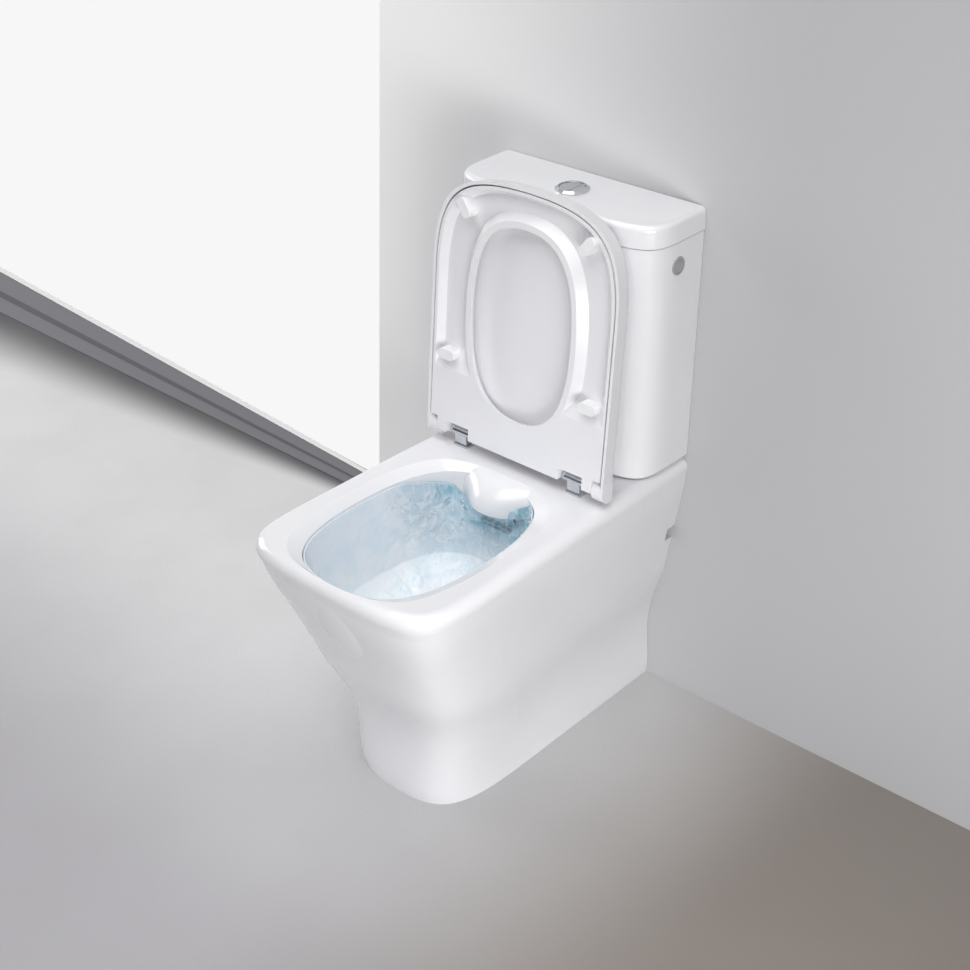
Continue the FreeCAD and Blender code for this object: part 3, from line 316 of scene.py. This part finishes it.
# %% Find the brim at each angle
def wall_radius(angle, height):
    """The bowl's wall, with the mouth of the flush channel bridged."""
    radius = glaze_radius(angle, height)
    behind = math.sin(angle)
    return min(radius, channel_mouth / behind) if behind > 0.7 else radius


def find_brim(angle):
    """The greatest height at which the wall isn't hidden by the tongue."""
    clear_wall = wall_radius(angle, clear_level) - 1.5 * brim_step
    height = water_brim
    while height > clear_level + 2 * brim_step and wall_radius(angle, height) < clear_wall:
        height -= brim_step
    return height if height == water_brim else height - 1.5 * brim_step


edge_dips = ((0, 0.0), (62, 0.0), (68, 0.005), (75, 0.017), (104, 0.032), (112, 0.032), (116, 0.020),
             (120, 0.015), (128, 0.011), (136, 0.007), (147, 0.0), (360, 0.0))


def edge_dip(angle):
    """How far under the brim the water's edge runs, from the table of degrees and dips."""
    degrees = math.degrees(angle)
    for (start, low), (end, high) in zip(edge_dips, edge_dips[1:]):
        if start <= degrees <= end:
            return low + (high - low) * (degrees - start) / (end - start)
    return 0.0


turn_angles = [2 * math.pi * i / around for i in range(around)]
brims = [min(find_brim(angle), water_brim - edge_dip(angle)) for angle in turn_angles]
print("brim between", round(min(brims), 4), "and", round(max(brims), 4), "m")

# %% [markdown]
# Noise gives the waves. The film is streaky and thin at the front, and rough at the back, where the
# water is poured in. The pool is a shallow whirl with a churned surface.

# %% Waves on the film and on the pool
def film_wave(angle, height, brim):
    """Thickness of the film: streaks that run down and round with the flow, rougher at the back."""
    churn = 0.5 + 0.5 * math.sin(angle)
    along = Vector((math.cos(angle) * 9, math.sin(angle) * 9, height * 26))
    streak = noise.noise(along * 1.7) * 0.6 + noise.noise(along * 4.1) * 0.4
    swirl = noise.noise(Vector((angle * 6 + height * 30, height * 60, 4.0)))
    rise = max(0.0, min(1.0, (brim - height) / 0.04))
    return film + rise * (0.0012 * streak + (0.0006 + 0.0026 * churn) * abs(swirl))


def pool_wave(x, y):
    """Height of the churning pool over its level."""
    place = Vector((x * 30, y * 30, 1.5))
    return 0.005 * noise.noise(place) + 0.0035 * noise.fractal(place * 2.7, 0.8, 2.0, 4)


print("film is", round(1e3 * film_wave(1.5, 0.33, 0.36), 2), "mm thick under the tongue")


# %% Build a closed skin from rings
def skin_from_rings(name, rings, first_pole, last_pole):
    """A closed mesh from rings of points, capped with a pole at each end."""
    count = len(rings[0])
    points = [p for ring in rings for p in ring] + [first_pole, last_pole]
    first, last = len(points) - 2, len(points) - 1
    faces = []
    for row in range(len(rings) - 1):
        for i in range(count):
            j = (i + 1) % count
            faces.append((row * count + i, row * count + j, (row + 1) * count + j, (row + 1) * count + i))
    base = (len(rings) - 1) * count
    for i in range(count):
        j = (i + 1) % count
        faces.append((first, j, i))
        faces.append((last, base + i, base + j))
    mesh = bpy.data.meshes.new(name)
    mesh.from_pydata(points, [], faces)
    mesh.validate()
    mesh.shade_smooth()
    piece = bpy.data.objects.new(name, mesh)
    bpy.context.scene.collection.objects.link(piece)
    return piece


def ring_between(low, share, thickness):
    """A ring on the bowl's wall, a share of the way from a level up to the brim."""
    ring = []
    for angle, brim in zip(turn_angles, brims):
        height = low + (brim - low) * share
        radius = wall_radius(angle, height) - water_gap - thickness(angle, height, brim)
        across, along = radius * math.cos(angle), radius * math.sin(angle)
        ring.append((bowl_middle.x + across, bowl_middle.y + along, height))
    return ring


def pool_ring(edge, share):
    """A ring on the pool, a share of the way from its middle to its edge."""
    ring = []
    for x, y, z in edge:
        px = bowl_middle.x + (x - bowl_middle.x) * share
        py = bowl_middle.y + (y - bowl_middle.y) * share
        calm = min(1.0, (1 - share) / 0.25)
        ring.append((px, py, pool_height + pool_whirl * share ** 2 + calm * pool_wave(px, py)))
    return ring


def make_flush_water():
    outer_rows, film_rows, pool_rows = 36, 56, 44
    outer = [ring_between(water_foot, k / outer_rows, lambda a, h, b: 0.0) for k in range(outer_rows + 1)]
    pool_edge = pool_height + pool_whirl
    inner = [ring_between(pool_edge, 1 - k / film_rows, film_wave) for k in range(film_rows + 1)]
    pool = [pool_ring(inner[-1], 1 - k / pool_rows) for k in range(1, pool_rows)]
    top = (bowl_middle.x, bowl_middle.y, pool_height + pool_wave(bowl_middle.x, bowl_middle.y))
    foot = (bowl_middle.x, bowl_middle.y, water_foot)
    return skin_from_rings("flush_water", outer + inner + pool, foot, top)


flush_water = make_flush_water()
print("water has", len(flush_water.data.polygons), "faces")

# %% [markdown]
# ## What the water looks like
# Moving water over white glaze reads as pale blue, and goes teal where it is thick and shaded under
# the tongue. Clear water with real refraction would need many light bounces, and it would lose its
# blue when the model is exported. The colour is painted instead, so the teal also carries painted
# shade under the tongue. A stretched distance to the tongue gives the teal, the thin zone where a
# twisted noise crosses its middle gives the curls of the swirl, and the gloss does the rest.

# %% The water's material
def make_water_material():
    material = bpy.data.materials.new("flush_water")
    material.use_nodes = True
    tree = material.node_tree
    shader = tree.nodes["Principled BSDF"]
    place = add(tree, "ShaderNodeTexCoord").outputs["Object"]
    apart = add(tree, "ShaderNodeSeparateXYZ", Vector=place)
    broad = add(tree, "ShaderNodeTexNoise", Vector=place, Scale=19.0, Detail=3.0, Distortion=0.8).outputs[0]
    wobble = number(tree, "MULTIPLY", number(tree, "SUBTRACT", broad, 0.5), 0.05)
    from_tongue = vector(tree, "SUBTRACT", place, tongue_point)[0]
    narrowed = vector(tree, "MULTIPLY", from_tongue, tongue_squeeze)[0]
    near = number(tree, "ADD", vector(tree, "LENGTH", narrowed)["Value"], wobble)
    stretch = add(tree, "ShaderNodeMapping", Vector=place)
    stretch.inputs["Scale"].default_value = (1.0, 1.0, 0.2)
    streaks = add(tree, "ShaderNodeTexNoise", Vector=stretch.outputs[0], Scale=190.0, Detail=2.0).outputs[0]
    eddies = add(tree, "ShaderNodeTexNoise", Vector=place, Scale=34.0, Detail=2.0, Distortion=1.4)
    eddies = eddies.outputs[0]
    off_middle = number(tree, "ABSOLUTE", number(tree, "SUBTRACT", eddies, 0.5))
    curls = ramp(tree, off_middle, 0.085, 0.0)
    swirl_zone = number(tree, "MULTIPLY", ramp(tree, near, 0.14, 0.08), ramp(tree, broad, 0.36, 0.52))

    pale = blend_colours(tree, ramp(tree, broad, 0.36, 0.62), paint(236, 246, 252), paint(247, 250, 253))
    left = ramp(tree, apart.outputs["Z"], 0.30, 0.40)
    pale = blend_colours(tree, number(tree, "MULTIPLY", left, 0.45), pale, paint(230, 237, 249))
    # The teal under the tongue is partly the colour of thick water and partly painted shade.
    teal = blend_colours(tree, ramp(tree, eddies, 0.4, 0.62), paint(190, 217, 231), paint(152, 192, 209))
    churned = blend_colours(tree, ramp(tree, near, 0.12, 0.07), pale, paint(206, 222, 233))
    colour = blend_colours(tree, ramp(tree, near, 0.036, 0.066), teal, churned)
    mist = number(tree, "MULTIPLY", ramp(tree, streaks, 0.55, 0.72), 0.35)
    colour = blend_colours(tree, mist, colour, paint(244, 249, 252))
    froth_share = number(tree, "MULTIPLY", curls, number(tree, "MULTIPLY", swirl_zone, 0.4))
    colour = blend_colours(tree, froth_share, colour, paint(250, 252, 253))
    tree.links.new(colour, shader.inputs["Base Color"])
    tree.links.new(ramp(tree, broad, 0.4, 0.7, 0.05, 0.2), shader.inputs["Roughness"])
    curl_height = number(tree, "MULTIPLY", curls, swirl_zone)
    height = number(tree, "ADD", number(tree, "MULTIPLY", streaks, 0.35), curl_height)
    bump = add(tree, "ShaderNodeBump", Strength=0.7, Distance=0.0014, Height=height)
    tree.links.new(bump.outputs["Normal"], shader.inputs["Normal"])
    shader.inputs["IOR"].default_value = 1.33
    shader.inputs["Specular IOR Level"].default_value = 0.7
    return material


water_material = make_water_material()
flush_water.data.materials.append(water_material)
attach(flush_water, "suite")

# %% [markdown]
# ## Trees of geometry nodes
# Froth and screw threads repeat one small shape many times. Copies could be placed in a loop. A
# Geometry Nodes tree does it with sizes that stay open to change, and its result becomes a plain mesh,
# so that nothing is left to work out later. The carrier that the tree ran on is thrown away.

# %% Helpers for geometry trees
def geometry_tree(name, inputs):
    """An empty geometry tree with named inputs, its input node and its output node."""
    tree = bpy.data.node_groups.new(name, "GeometryNodeTree")
    tree.interface.new_socket("Geometry", in_out="INPUT", socket_type="NodeSocketGeometry")
    for label, kind, value in inputs:
        socket = tree.interface.new_socket(label, in_out="INPUT", socket_type="NodeSocket" + kind)
        if value is not None:
            socket.default_value = value
    tree.interface.new_socket("Geometry", in_out="OUTPUT", socket_type="NodeSocketGeometry")
    return tree, tree.nodes.new("NodeGroupInput").outputs, tree.nodes.new("NodeGroupOutput").inputs


def finish_tree(tree, instances, finish_socket, sink):
    """Ends a tree: real geometry instead of instances, smooth shading and a material."""
    real = add(tree, "GeometryNodeRealizeInstances", Geometry=instances)
    smooth = add(tree, "GeometryNodeSetShadeSmooth", Geometry=real.outputs[0])
    dressed_mesh = add(tree, "GeometryNodeSetMaterial", Geometry=smooth.outputs[0], Material=finish_socket)
    tree.links.new(dressed_mesh.outputs[0], sink[0])


def grow(name, mesh, tree, values):
    """Runs a geometry tree on a mesh and keeps the result as a plain piece."""
    carrier = bpy.data.objects.new(name + "_carrier", mesh)
    bpy.context.scene.collection.objects.link(carrier)
    modifier = carrier.modifiers.new("nodes", "NODES")
    modifier.node_group = tree
    sockets = {item.name: item.identifier for item in tree.interface.items_tree if item.in_out == "INPUT"}
    for label, value in values.items():
        modifier[sockets[label]] = value
    plain = bpy.data.meshes.new_from_object(carrier.evaluated_get(bpy.context.evaluated_depsgraph_get()))
    plain.name = name
    bpy.data.objects.remove(carrier)
    piece = bpy.data.objects.new(name, plain)
    bpy.context.scene.collection.objects.link(piece)
    return piece


print("geometry helpers ready")

# %% [markdown]
# ## Froth
# Small bubbles ride where the water is churned: on the wall below the tongue and on the back of the
# pool. The tree scatters points on the water, keeps those in that zone that face the inside of the
# bowl, and puts a small ball of random size on each.

# %% The froth tree
ball_sides, ball_rings = 8, 5


def make_froth_tree():
    tree, source, sink = geometry_tree("froth", [
        ("Zone Middle", "Vector", (0, 0, 0)), ("Bowl Middle", "Vector", (0, 0, 0)), ("Reach", "Float", 0.1),
        ("Density", "Float", 1000.0), ("Smallest", "Float", 0.0005), ("Largest", "Float", 0.0015),
        ("Seed", "Int", 0), ("Finish", "Material", None)])
    place = add(tree, "GeometryNodeInputPosition").outputs[0]
    facing = add(tree, "GeometryNodeInputNormal").outputs[0]
    inwards = vector(tree, "SUBTRACT", source["Bowl Middle"], place)[0]
    open_side = vector(tree, "DOT_PRODUCT", facing, inwards)["Value"]
    offset = vector(tree, "SUBTRACT", place, source["Zone Middle"])[0]
    apart = vector(tree, "LENGTH", vector(tree, "MULTIPLY", offset, tongue_squeeze)[0])["Value"]
    clumps = add(tree, "ShaderNodeTexNoise", Vector=place, Scale=38.0, Detail=2.0).outputs[0]
    near = number(tree, "LESS_THAN", apart, source["Reach"])
    inside = number(tree, "GREATER_THAN", open_side, 0.0)
    clumped = number(tree, "GREATER_THAN", clumps, 0.52)
    chosen = number(tree, "MULTIPLY", number(tree, "MULTIPLY", near, inside), clumped)
    scatter = add(tree, "GeometryNodeDistributePointsOnFaces", Mesh=source["Geometry"], Selection=chosen,
                  Density=source["Density"], Seed=source["Seed"])
    ball = add(tree, "GeometryNodeMeshUVSphere", Segments=ball_sides, Rings=ball_rings, Radius=1.0)
    size = add(tree, "FunctionNodeRandomValue", {"data_type": "FLOAT"}, i2=source["Smallest"],
               i3=source["Largest"], Seed=source["Seed"])
    copies = add(tree, "GeometryNodeInstanceOnPoints", Points=scatter.outputs["Points"],
                 Instance=ball.outputs["Mesh"], Scale=size.outputs[1])
    finish_tree(tree, copies.outputs[0], source["Finish"], sink)
    return tree


froth_finish = finish("froth", (242, 248, 251), (226, 238, 245), 0.12, 0.05, 0.01)
froth = grow("froth", flush_water.data.copy(), make_froth_tree(), {
    "Zone Middle": tuple(tongue_point), "Bowl Middle": (bowl_middle.x, bowl_middle.y, 0.42), "Reach": 0.115,
    "Density": 14000.0, "Smallest": 0.0005, "Largest": 0.0017, "Seed": 7, "Finish": froth_finish})
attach(froth, "suite")
print("froth has", len(froth.data.polygons) // (ball_sides * ball_rings), "bubbles")

# %% [markdown]
# ## Screw threads
# Below the deck and inside the cistern, studs, bolts and plastic tails are threaded, and the CAD model
# has them as plain bars. Cut threads would make the CAD heavy for a detail that is rarely seen. One
# tree winds a three-sided ridge along a spiral and stands it on every place that it is given.

# %% The thread tree
def make_thread_tree():
    tree, source, sink = geometry_tree("screw_thread", [
        ("Radius", "Float", 0.004), ("Pitch", "Float", 0.001), ("Length", "Float", 0.02),
        ("Ridge", "Float", 0.0004), ("Finish", "Material", None)])
    turns = number(tree, "DIVIDE", source["Length"], source["Pitch"])
    spiral = add(tree, "GeometryNodeCurveSpiral", Resolution=28, Rotations=turns, Height=source["Length"],
                 Start_Radius=source["Radius"], End_Radius=source["Radius"])
    profile = add(tree, "GeometryNodeCurvePrimitiveCircle", {"mode": "RADIUS"}, Resolution=3,
                  Radius=source["Ridge"])
    ridge = add(tree, "GeometryNodeCurveToMesh", Curve=spiral.outputs[0],
                Profile_Curve=profile.outputs[0], Fill_Caps=True)
    copies = add(tree, "GeometryNodeInstanceOnPoints", Points=source["Geometry"], Instance=ridge.outputs[0])
    finish_tree(tree, copies.outputs[0], source["Finish"], sink)
    return tree


thread_tree = make_thread_tree()


print("threads are drawn by", len(thread_tree.nodes), "nodes")

# %% [markdown]
# The threads run from the foot of a bar up to its nut, whose box gives the place. Where a node holds
# a bar on each side of the plane of symmetry, its points are split there.

# %% Thread the bars
widest_nut = 0.08
ridge_share = 0.36


def middle(values):
    return (min(values) + max(values)) / 2


def bar_places(node):
    """The middle, in plan, of each separate bar or nut of a node: one, or one on each side."""
    points = [v.co for v in nodes[node].data.vertices]
    low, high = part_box(node)
    sides = [points]
    if low.x * high.x < 0 and high.x - low.x > widest_nut:
        sides = [[p for p in points if p.x < 0], [p for p in points if p.x > 0]]
    return [(middle([p.x for p in side]), middle([p.y for p in side])) for side in sides]


def add_threads(name, bar, nut, radius, pitch, slot):
    """Threads the free end of a bar, from its foot up to its nut."""
    foot, nut_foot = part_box(bar)[0].z + pitch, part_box(nut)[0].z
    length = nut_foot - foot - pitch / 2
    mesh = bpy.data.meshes.new(name + "_places")
    mesh.from_pydata([(x, y, foot) for x, y in bar_places(nut)], [], [])
    piece = grow(name, mesh, thread_tree, {"Radius": radius, "Pitch": pitch, "Length": length,
                                           "Ridge": pitch * ridge_share, "Finish": finishes[slot]})
    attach(piece, "suite")
    print(f"{name:22s}", len(piece.data.polygons), "faces, length", round(1000 * length, 1), "mm")


# Each row has the name, the bar, its nut, the radius, the pitch and the slot.
for thread in (
        ("hinge_stud_threads", "hinge_studs", "hinge_nuts", 0.004, 0.00125, "steel"),
        ("coupling_bolt_threads", "coupling_bolts", "coupling_nuts", 0.004, 0.00125, "steel"),
        ("fill_shank_thread", "fill_valve_body", "fill_valve_backnut", 0.01048, 0.0018, "white_plastic"),
        ("flush_valve_thread", "valve_base", "valve_backnut", 0.030, 0.003, "white_plastic"),
        ("button_thread", "button_bezel", "button_nut", 0.021, 0.002, "chrome")):
    add_threads(*thread)

# %% [markdown]
# ## The floor and the wall
# The toilet stands on a pale cement floor against a light grey wall. The wall ends on the left, where
# a bright pane stands behind a dark threshold on the floor. They are stage pieces: they catch the
# shadow and fill the view, and aren't part of the object. Light and shade are also painted into the
# colours of the floor and the wall. The wall hides itself when it is seen from behind, so that the
# back of the toilet can be looked at too.

# %% Flat stage pieces
reach = 6.0
ceiling = 4.0
wall_face = wall_y + 0.001


def flat_piece(name, corners, material):
    mesh = bpy.data.meshes.new(name)
    mesh.from_pydata(corners, [], [tuple(range(len(corners)))])
    piece = bpy.data.objects.new(name, mesh)
    bpy.context.scene.collection.objects.link(piece)
    mesh.materials.append(material)
    return piece


def plain_tone(name, roughness=0.6):
    """A matt stage material, its tree, its shader and the sockets of X, Y and Z."""
    material = bpy.data.materials.new(name)
    material.use_nodes = True
    tree = material.node_tree
    shader = tree.nodes["Principled BSDF"]
    shader.inputs["Roughness"].default_value = roughness
    place = add(tree, "ShaderNodeTexCoord").outputs["Object"]
    apart = add(tree, "ShaderNodeSeparateXYZ", Vector=place)
    return material, tree, shader, place, apart.outputs


def one_tone(name, colour, roughness):
    """A stage material of one colour."""
    material = plain_tone(name, roughness)[0]
    material.node_tree.nodes["Principled BSDF"].inputs["Base Color"].default_value = paint(*colour)
    return material


def make_floor_material():
    """Cement with painted shade: painted light far left, painted shade near the viewer, a warm grey painted
    shadow right, a painted shadow by the threshold.
    """
    material, tree, shader, place, axes = plain_tone("cement_floor_painted_shade", 0.5)
    # Painted light and shade: bright far away at the left, darker near the viewer.
    left = blend_colours(tree, ramp(tree, axes[1], -0.6, 0.15), paint(180, 178, 182), paint(234, 234, 235))
    # Painted shadow: the floor turns warm grey to the right of the toilet.
    colour = blend_colours(tree, ramp(tree, axes[0], -0.05, 0.54), left, paint(131, 123, 117))
    # Painted shadow by the threshold: dark at its near line, fading over a width that grows to the left,
    # only left of x = -0.4.
    line = number(tree, "ADD", number(tree, "MULTIPLY", axes[0], -0.0174), 0.3749)
    spread = number(tree, "SUBTRACT", number(tree, "MULTIPLY", axes[0], -0.148), 0.0536)
    away = number(tree, "SUBTRACT", line, axes[1])
    away = number(tree, "DIVIDE", away, number(tree, "MAXIMUM", spread, 0.01))
    clear = number(tree, "MAXIMUM", ramp(tree, away, 0.0, 1.0), ramp(tree, axes[0], -0.42, -0.38))
    colour = blend_colours(tree, clear, paint(70, 70, 73), colour)
    cloud = add(tree, "ShaderNodeTexNoise", Vector=place, Scale=5.0, Detail=5.0).outputs[0]
    grit = add(tree, "ShaderNodeTexNoise", Vector=place, Scale=300.0, Detail=3.0).outputs[0]
    shade = number(tree, "ADD", number(tree, "MULTIPLY", cloud, 0.5), number(tree, "MULTIPLY", grit, 0.5))
    dirt = number(tree, "MULTIPLY", ramp(tree, shade, 0.4, 0.62), 0.10)
    colour = blend_colours(tree, dirt, colour, paint(150, 147, 144))
    tree.links.new(colour, shader.inputs["Base Color"])
    return material


def make_wall_material():
    """Grey wall with painted light: white where it ends beside the pane, darker grey to the right."""
    material, tree, shader, _, axes = plain_tone("grey_wall_painted_light")
    # Painted light: the wall's colour is white at its end and darker grey to the right.
    painted_light_from_end = ramp(tree, axes[0], -0.5, 0.35)
    colour = blend_colours(tree, painted_light_from_end, paint(255, 255, 255), paint(188, 188, 191))
    tree.links.new(colour, shader.inputs["Base Color"])
    make_one_sided(tree, shader)
    return material


def make_one_sided(tree, shader):
    """A wall that is clear from behind."""
    back = add(tree, "ShaderNodeNewGeometry").outputs["Backfacing"]
    clear = add(tree, "ShaderNodeBsdfTransparent")
    mix = add(tree, "ShaderNodeMixShader", i0=back, i1=shader.outputs[0], i2=clear.outputs[0])
    tree.links.new(mix.outputs[0], tree.nodes["Material Output"].inputs["Surface"])


floor_corners = [(-reach, -reach, 0), (reach, -reach, 0), (reach, reach, 0), (-reach, reach, 0)]
flat_piece("stage_floor", floor_corners, make_floor_material())
wall_corners = [(-0.494, wall_face, 0), (reach, wall_face, 0), (reach, wall_face, ceiling),
                (-0.212, wall_face, ceiling)]
wall = flat_piece("stage_wall", wall_corners, make_wall_material())
wall.visible_diffuse = False
wall.visible_shadow = False
print("wall stands at y =", round(wall_y, 4))


# %% The bright pane and the threshold
def make_pane_material():
    """White as seen, and no lamp: only camera and mirror rays find it bright."""
    material = bpy.data.materials.new("bright_pane")
    material.use_nodes = True
    tree = material.node_tree
    shader = tree.nodes["Principled BSDF"]
    shader.inputs["Base Color"].default_value = paint(246, 246, 246)
    rays = add(tree, "ShaderNodeLightPath")
    seen = number(tree, "MAXIMUM", rays.outputs["Is Camera Ray"], rays.outputs["Is Glossy Ray"])
    glow = add(tree, "ShaderNodeEmission", Color=paint(247, 247, 247), Strength=1.0)
    mix = add(tree, "ShaderNodeMixShader", i0=seen, i1=shader.outputs[0], i2=glow.outputs[0])
    back = add(tree, "ShaderNodeNewGeometry").outputs["Backfacing"]
    clear = add(tree, "ShaderNodeBsdfTransparent")
    front = add(tree, "ShaderNodeMixShader", i0=back, i1=mix.outputs[0], i2=clear.outputs[0])
    tree.links.new(front.outputs[0], tree.nodes["Material Output"].inputs["Surface"])
    return material


pane_far, pane_near = (-reach, 0.87), (-0.30, 0.418)
pane_corners = [(*pane_far, 0), (*pane_near, 0), (*pane_near, ceiling), (*pane_far, ceiling)]
pane = flat_piece("stage_pane", pane_corners, make_pane_material())
pane.visible_diffuse = False
pane.visible_shadow = False
dark_material = one_tone("dark_threshold", (116, 115, 121), 0.45)
line_material = one_tone("threshold_groove", (78, 78, 84), 0.5)
light_material = one_tone("threshold_edge", (252, 252, 252), 0.4)


def strip(name, near, far, height, material):
    """A flat strip on the floor between two lines, from far left to just behind the wall's end."""
    def on_line(line, x):
        (x0, y0), (x1, y1) = line
        return (x, y0 + (y1 - y0) * (x - x0) / (x1 - x0), height)
    ends = (-reach, -0.40)
    corners = [on_line(near, ends[0]), on_line(near, ends[1]), on_line(far, ends[1]), on_line(far, ends[0])]
    return flat_piece(name, corners, material)


near_line = ((-1.848, 0.407), (-0.698, 0.387))
far_line = ((-2.054, 0.541), (-0.696, 0.436))
groove_lines = ((-1.92, 0.455), (-0.70, 0.408)), ((-1.95, 0.476), (-0.70, 0.414))
edge_line = ((-2.09, 0.572), (-0.696, 0.447))
strip("stage_threshold", near_line, far_line, 0.0006, dark_material)
strip("stage_threshold_groove", *groove_lines, 0.0009, line_material)
strip("stage_threshold_edge", far_line, edge_line, 0.0012, light_material)

# %% [markdown]
# ## The lamps
# The picture is lit softly from above, from the left, and low down from the right, where the sides of
# pan and cistern are brightest near the deck. A lamp behind the wall serves the views from the back.
# A weak, even world lifts the shadows, and stands pale behind the stage. Large area lamps give the
# glaze its long, soft reflections. Mirrored rays see a world that is dark at the horizon and bright
# above, which puts contrast into the chrome.

# %% Area lamps
def soft_lamp(name, place, target, size, power, colour=(1, 1, 1)):
    light = bpy.data.lights.new(name, "AREA")
    light.shape = "RECTANGLE"
    light.size, light.size_y = size
    light.energy = power
    light.color = colour
    lamp = bpy.data.objects.new(name, light)
    bpy.context.scene.collection.objects.link(lamp)
    heading = Vector(target) - Vector(place)
    lamp.matrix_world = Matrix.Translation(place) @ heading.to_track_quat("-Z", "Y").to_matrix().to_4x4()
    return lamp


soft_lamp("overhead", (0.1, -0.6, 3.0), (0, 0, 0.3), (2.8, 2.4), 59)
soft_lamp("right_low", (2.5, -1.5, 0.3), (0, 0, 0.25), (1.6, 0.6), 31)
soft_lamp("near_right", (0.95, -0.75, 0.60), (0.1, -0.1, 0.40), (0.9, 0.5), 4.8)
soft_lamp("left_side", (-2.8, -0.6, 1.2), (0, 0, 0.4), (1.6, 1.6), 27)
soft_lamp("behind", (-1.0, 3.2, 1.3), (0, 0.3, 0.4), (2.0, 1.4), 16)

world = bpy.data.worlds.new("room_light")
world.use_nodes = True
room = world.node_tree
direction = add(room, "ShaderNodeTexCoord").outputs["Generated"]
up = add(room, "ShaderNodeSeparateXYZ", Vector=direction).outputs[2]
mirrored = blend_colours(room, ramp(room, up, 0.05, 0.75), paint(62, 64, 68), paint(224, 226, 230))
rays = add(room, "ShaderNodeLightPath").outputs
glossy = rays["Is Glossy Ray"]
seen = blend_colours(room, glossy, paint(236, 238, 240), mirrored)
room.links.new(seen, room.nodes["Background"].inputs["Color"])
strength = number(room, "MAXIMUM", ramp(room, glossy, 0.0, 1.0, 0.10, 0.8), rays["Is Camera Ray"])
room.links.new(strength, room.nodes["Background"].inputs["Strength"])
bpy.context.scene.world = world
bpy.context.scene.view_settings.view_transform = "Standard"

# %% [markdown]
# ## The camera
# The camera was found by matching the object's own corners to the picture: it stands to the front
# right, looks down about thirty degrees, and leans a little. Its three axes are built from those
# angles, so nothing has to be aimed by eye.

# %% Camera from its angles
def make_camera():
    turn, dip, lean = math.radians(42.547), math.radians(30.876), math.radians(-1.177)
    ahead = Vector((-math.sin(turn) * math.cos(dip), math.cos(turn) * math.cos(dip), -math.sin(dip)))
    level = Vector((math.cos(turn), math.sin(turn), 0.0))
    upward = level.cross(ahead)
    right = level * math.cos(lean) + upward * math.sin(lean)
    up = upward * math.cos(lean) - level * math.sin(lean)
    data = bpy.data.cameras.new("photo_camera")
    data.sensor_width = 36.0
    data.lens = 1707.498 / 970 * 36.0
    camera = bpy.data.objects.new("photo_camera", data)
    bpy.context.scene.collection.objects.link(camera)
    axes = Matrix((right, up, -ahead)).transposed().to_4x4()
    camera.matrix_world = Matrix.Translation((1.402505, wall_y - 1.7807, 1.659375)) @ axes
    bpy.context.scene.camera = camera
    return camera


camera = make_camera()
print("lens", round(camera.data.lens, 2), "mm")
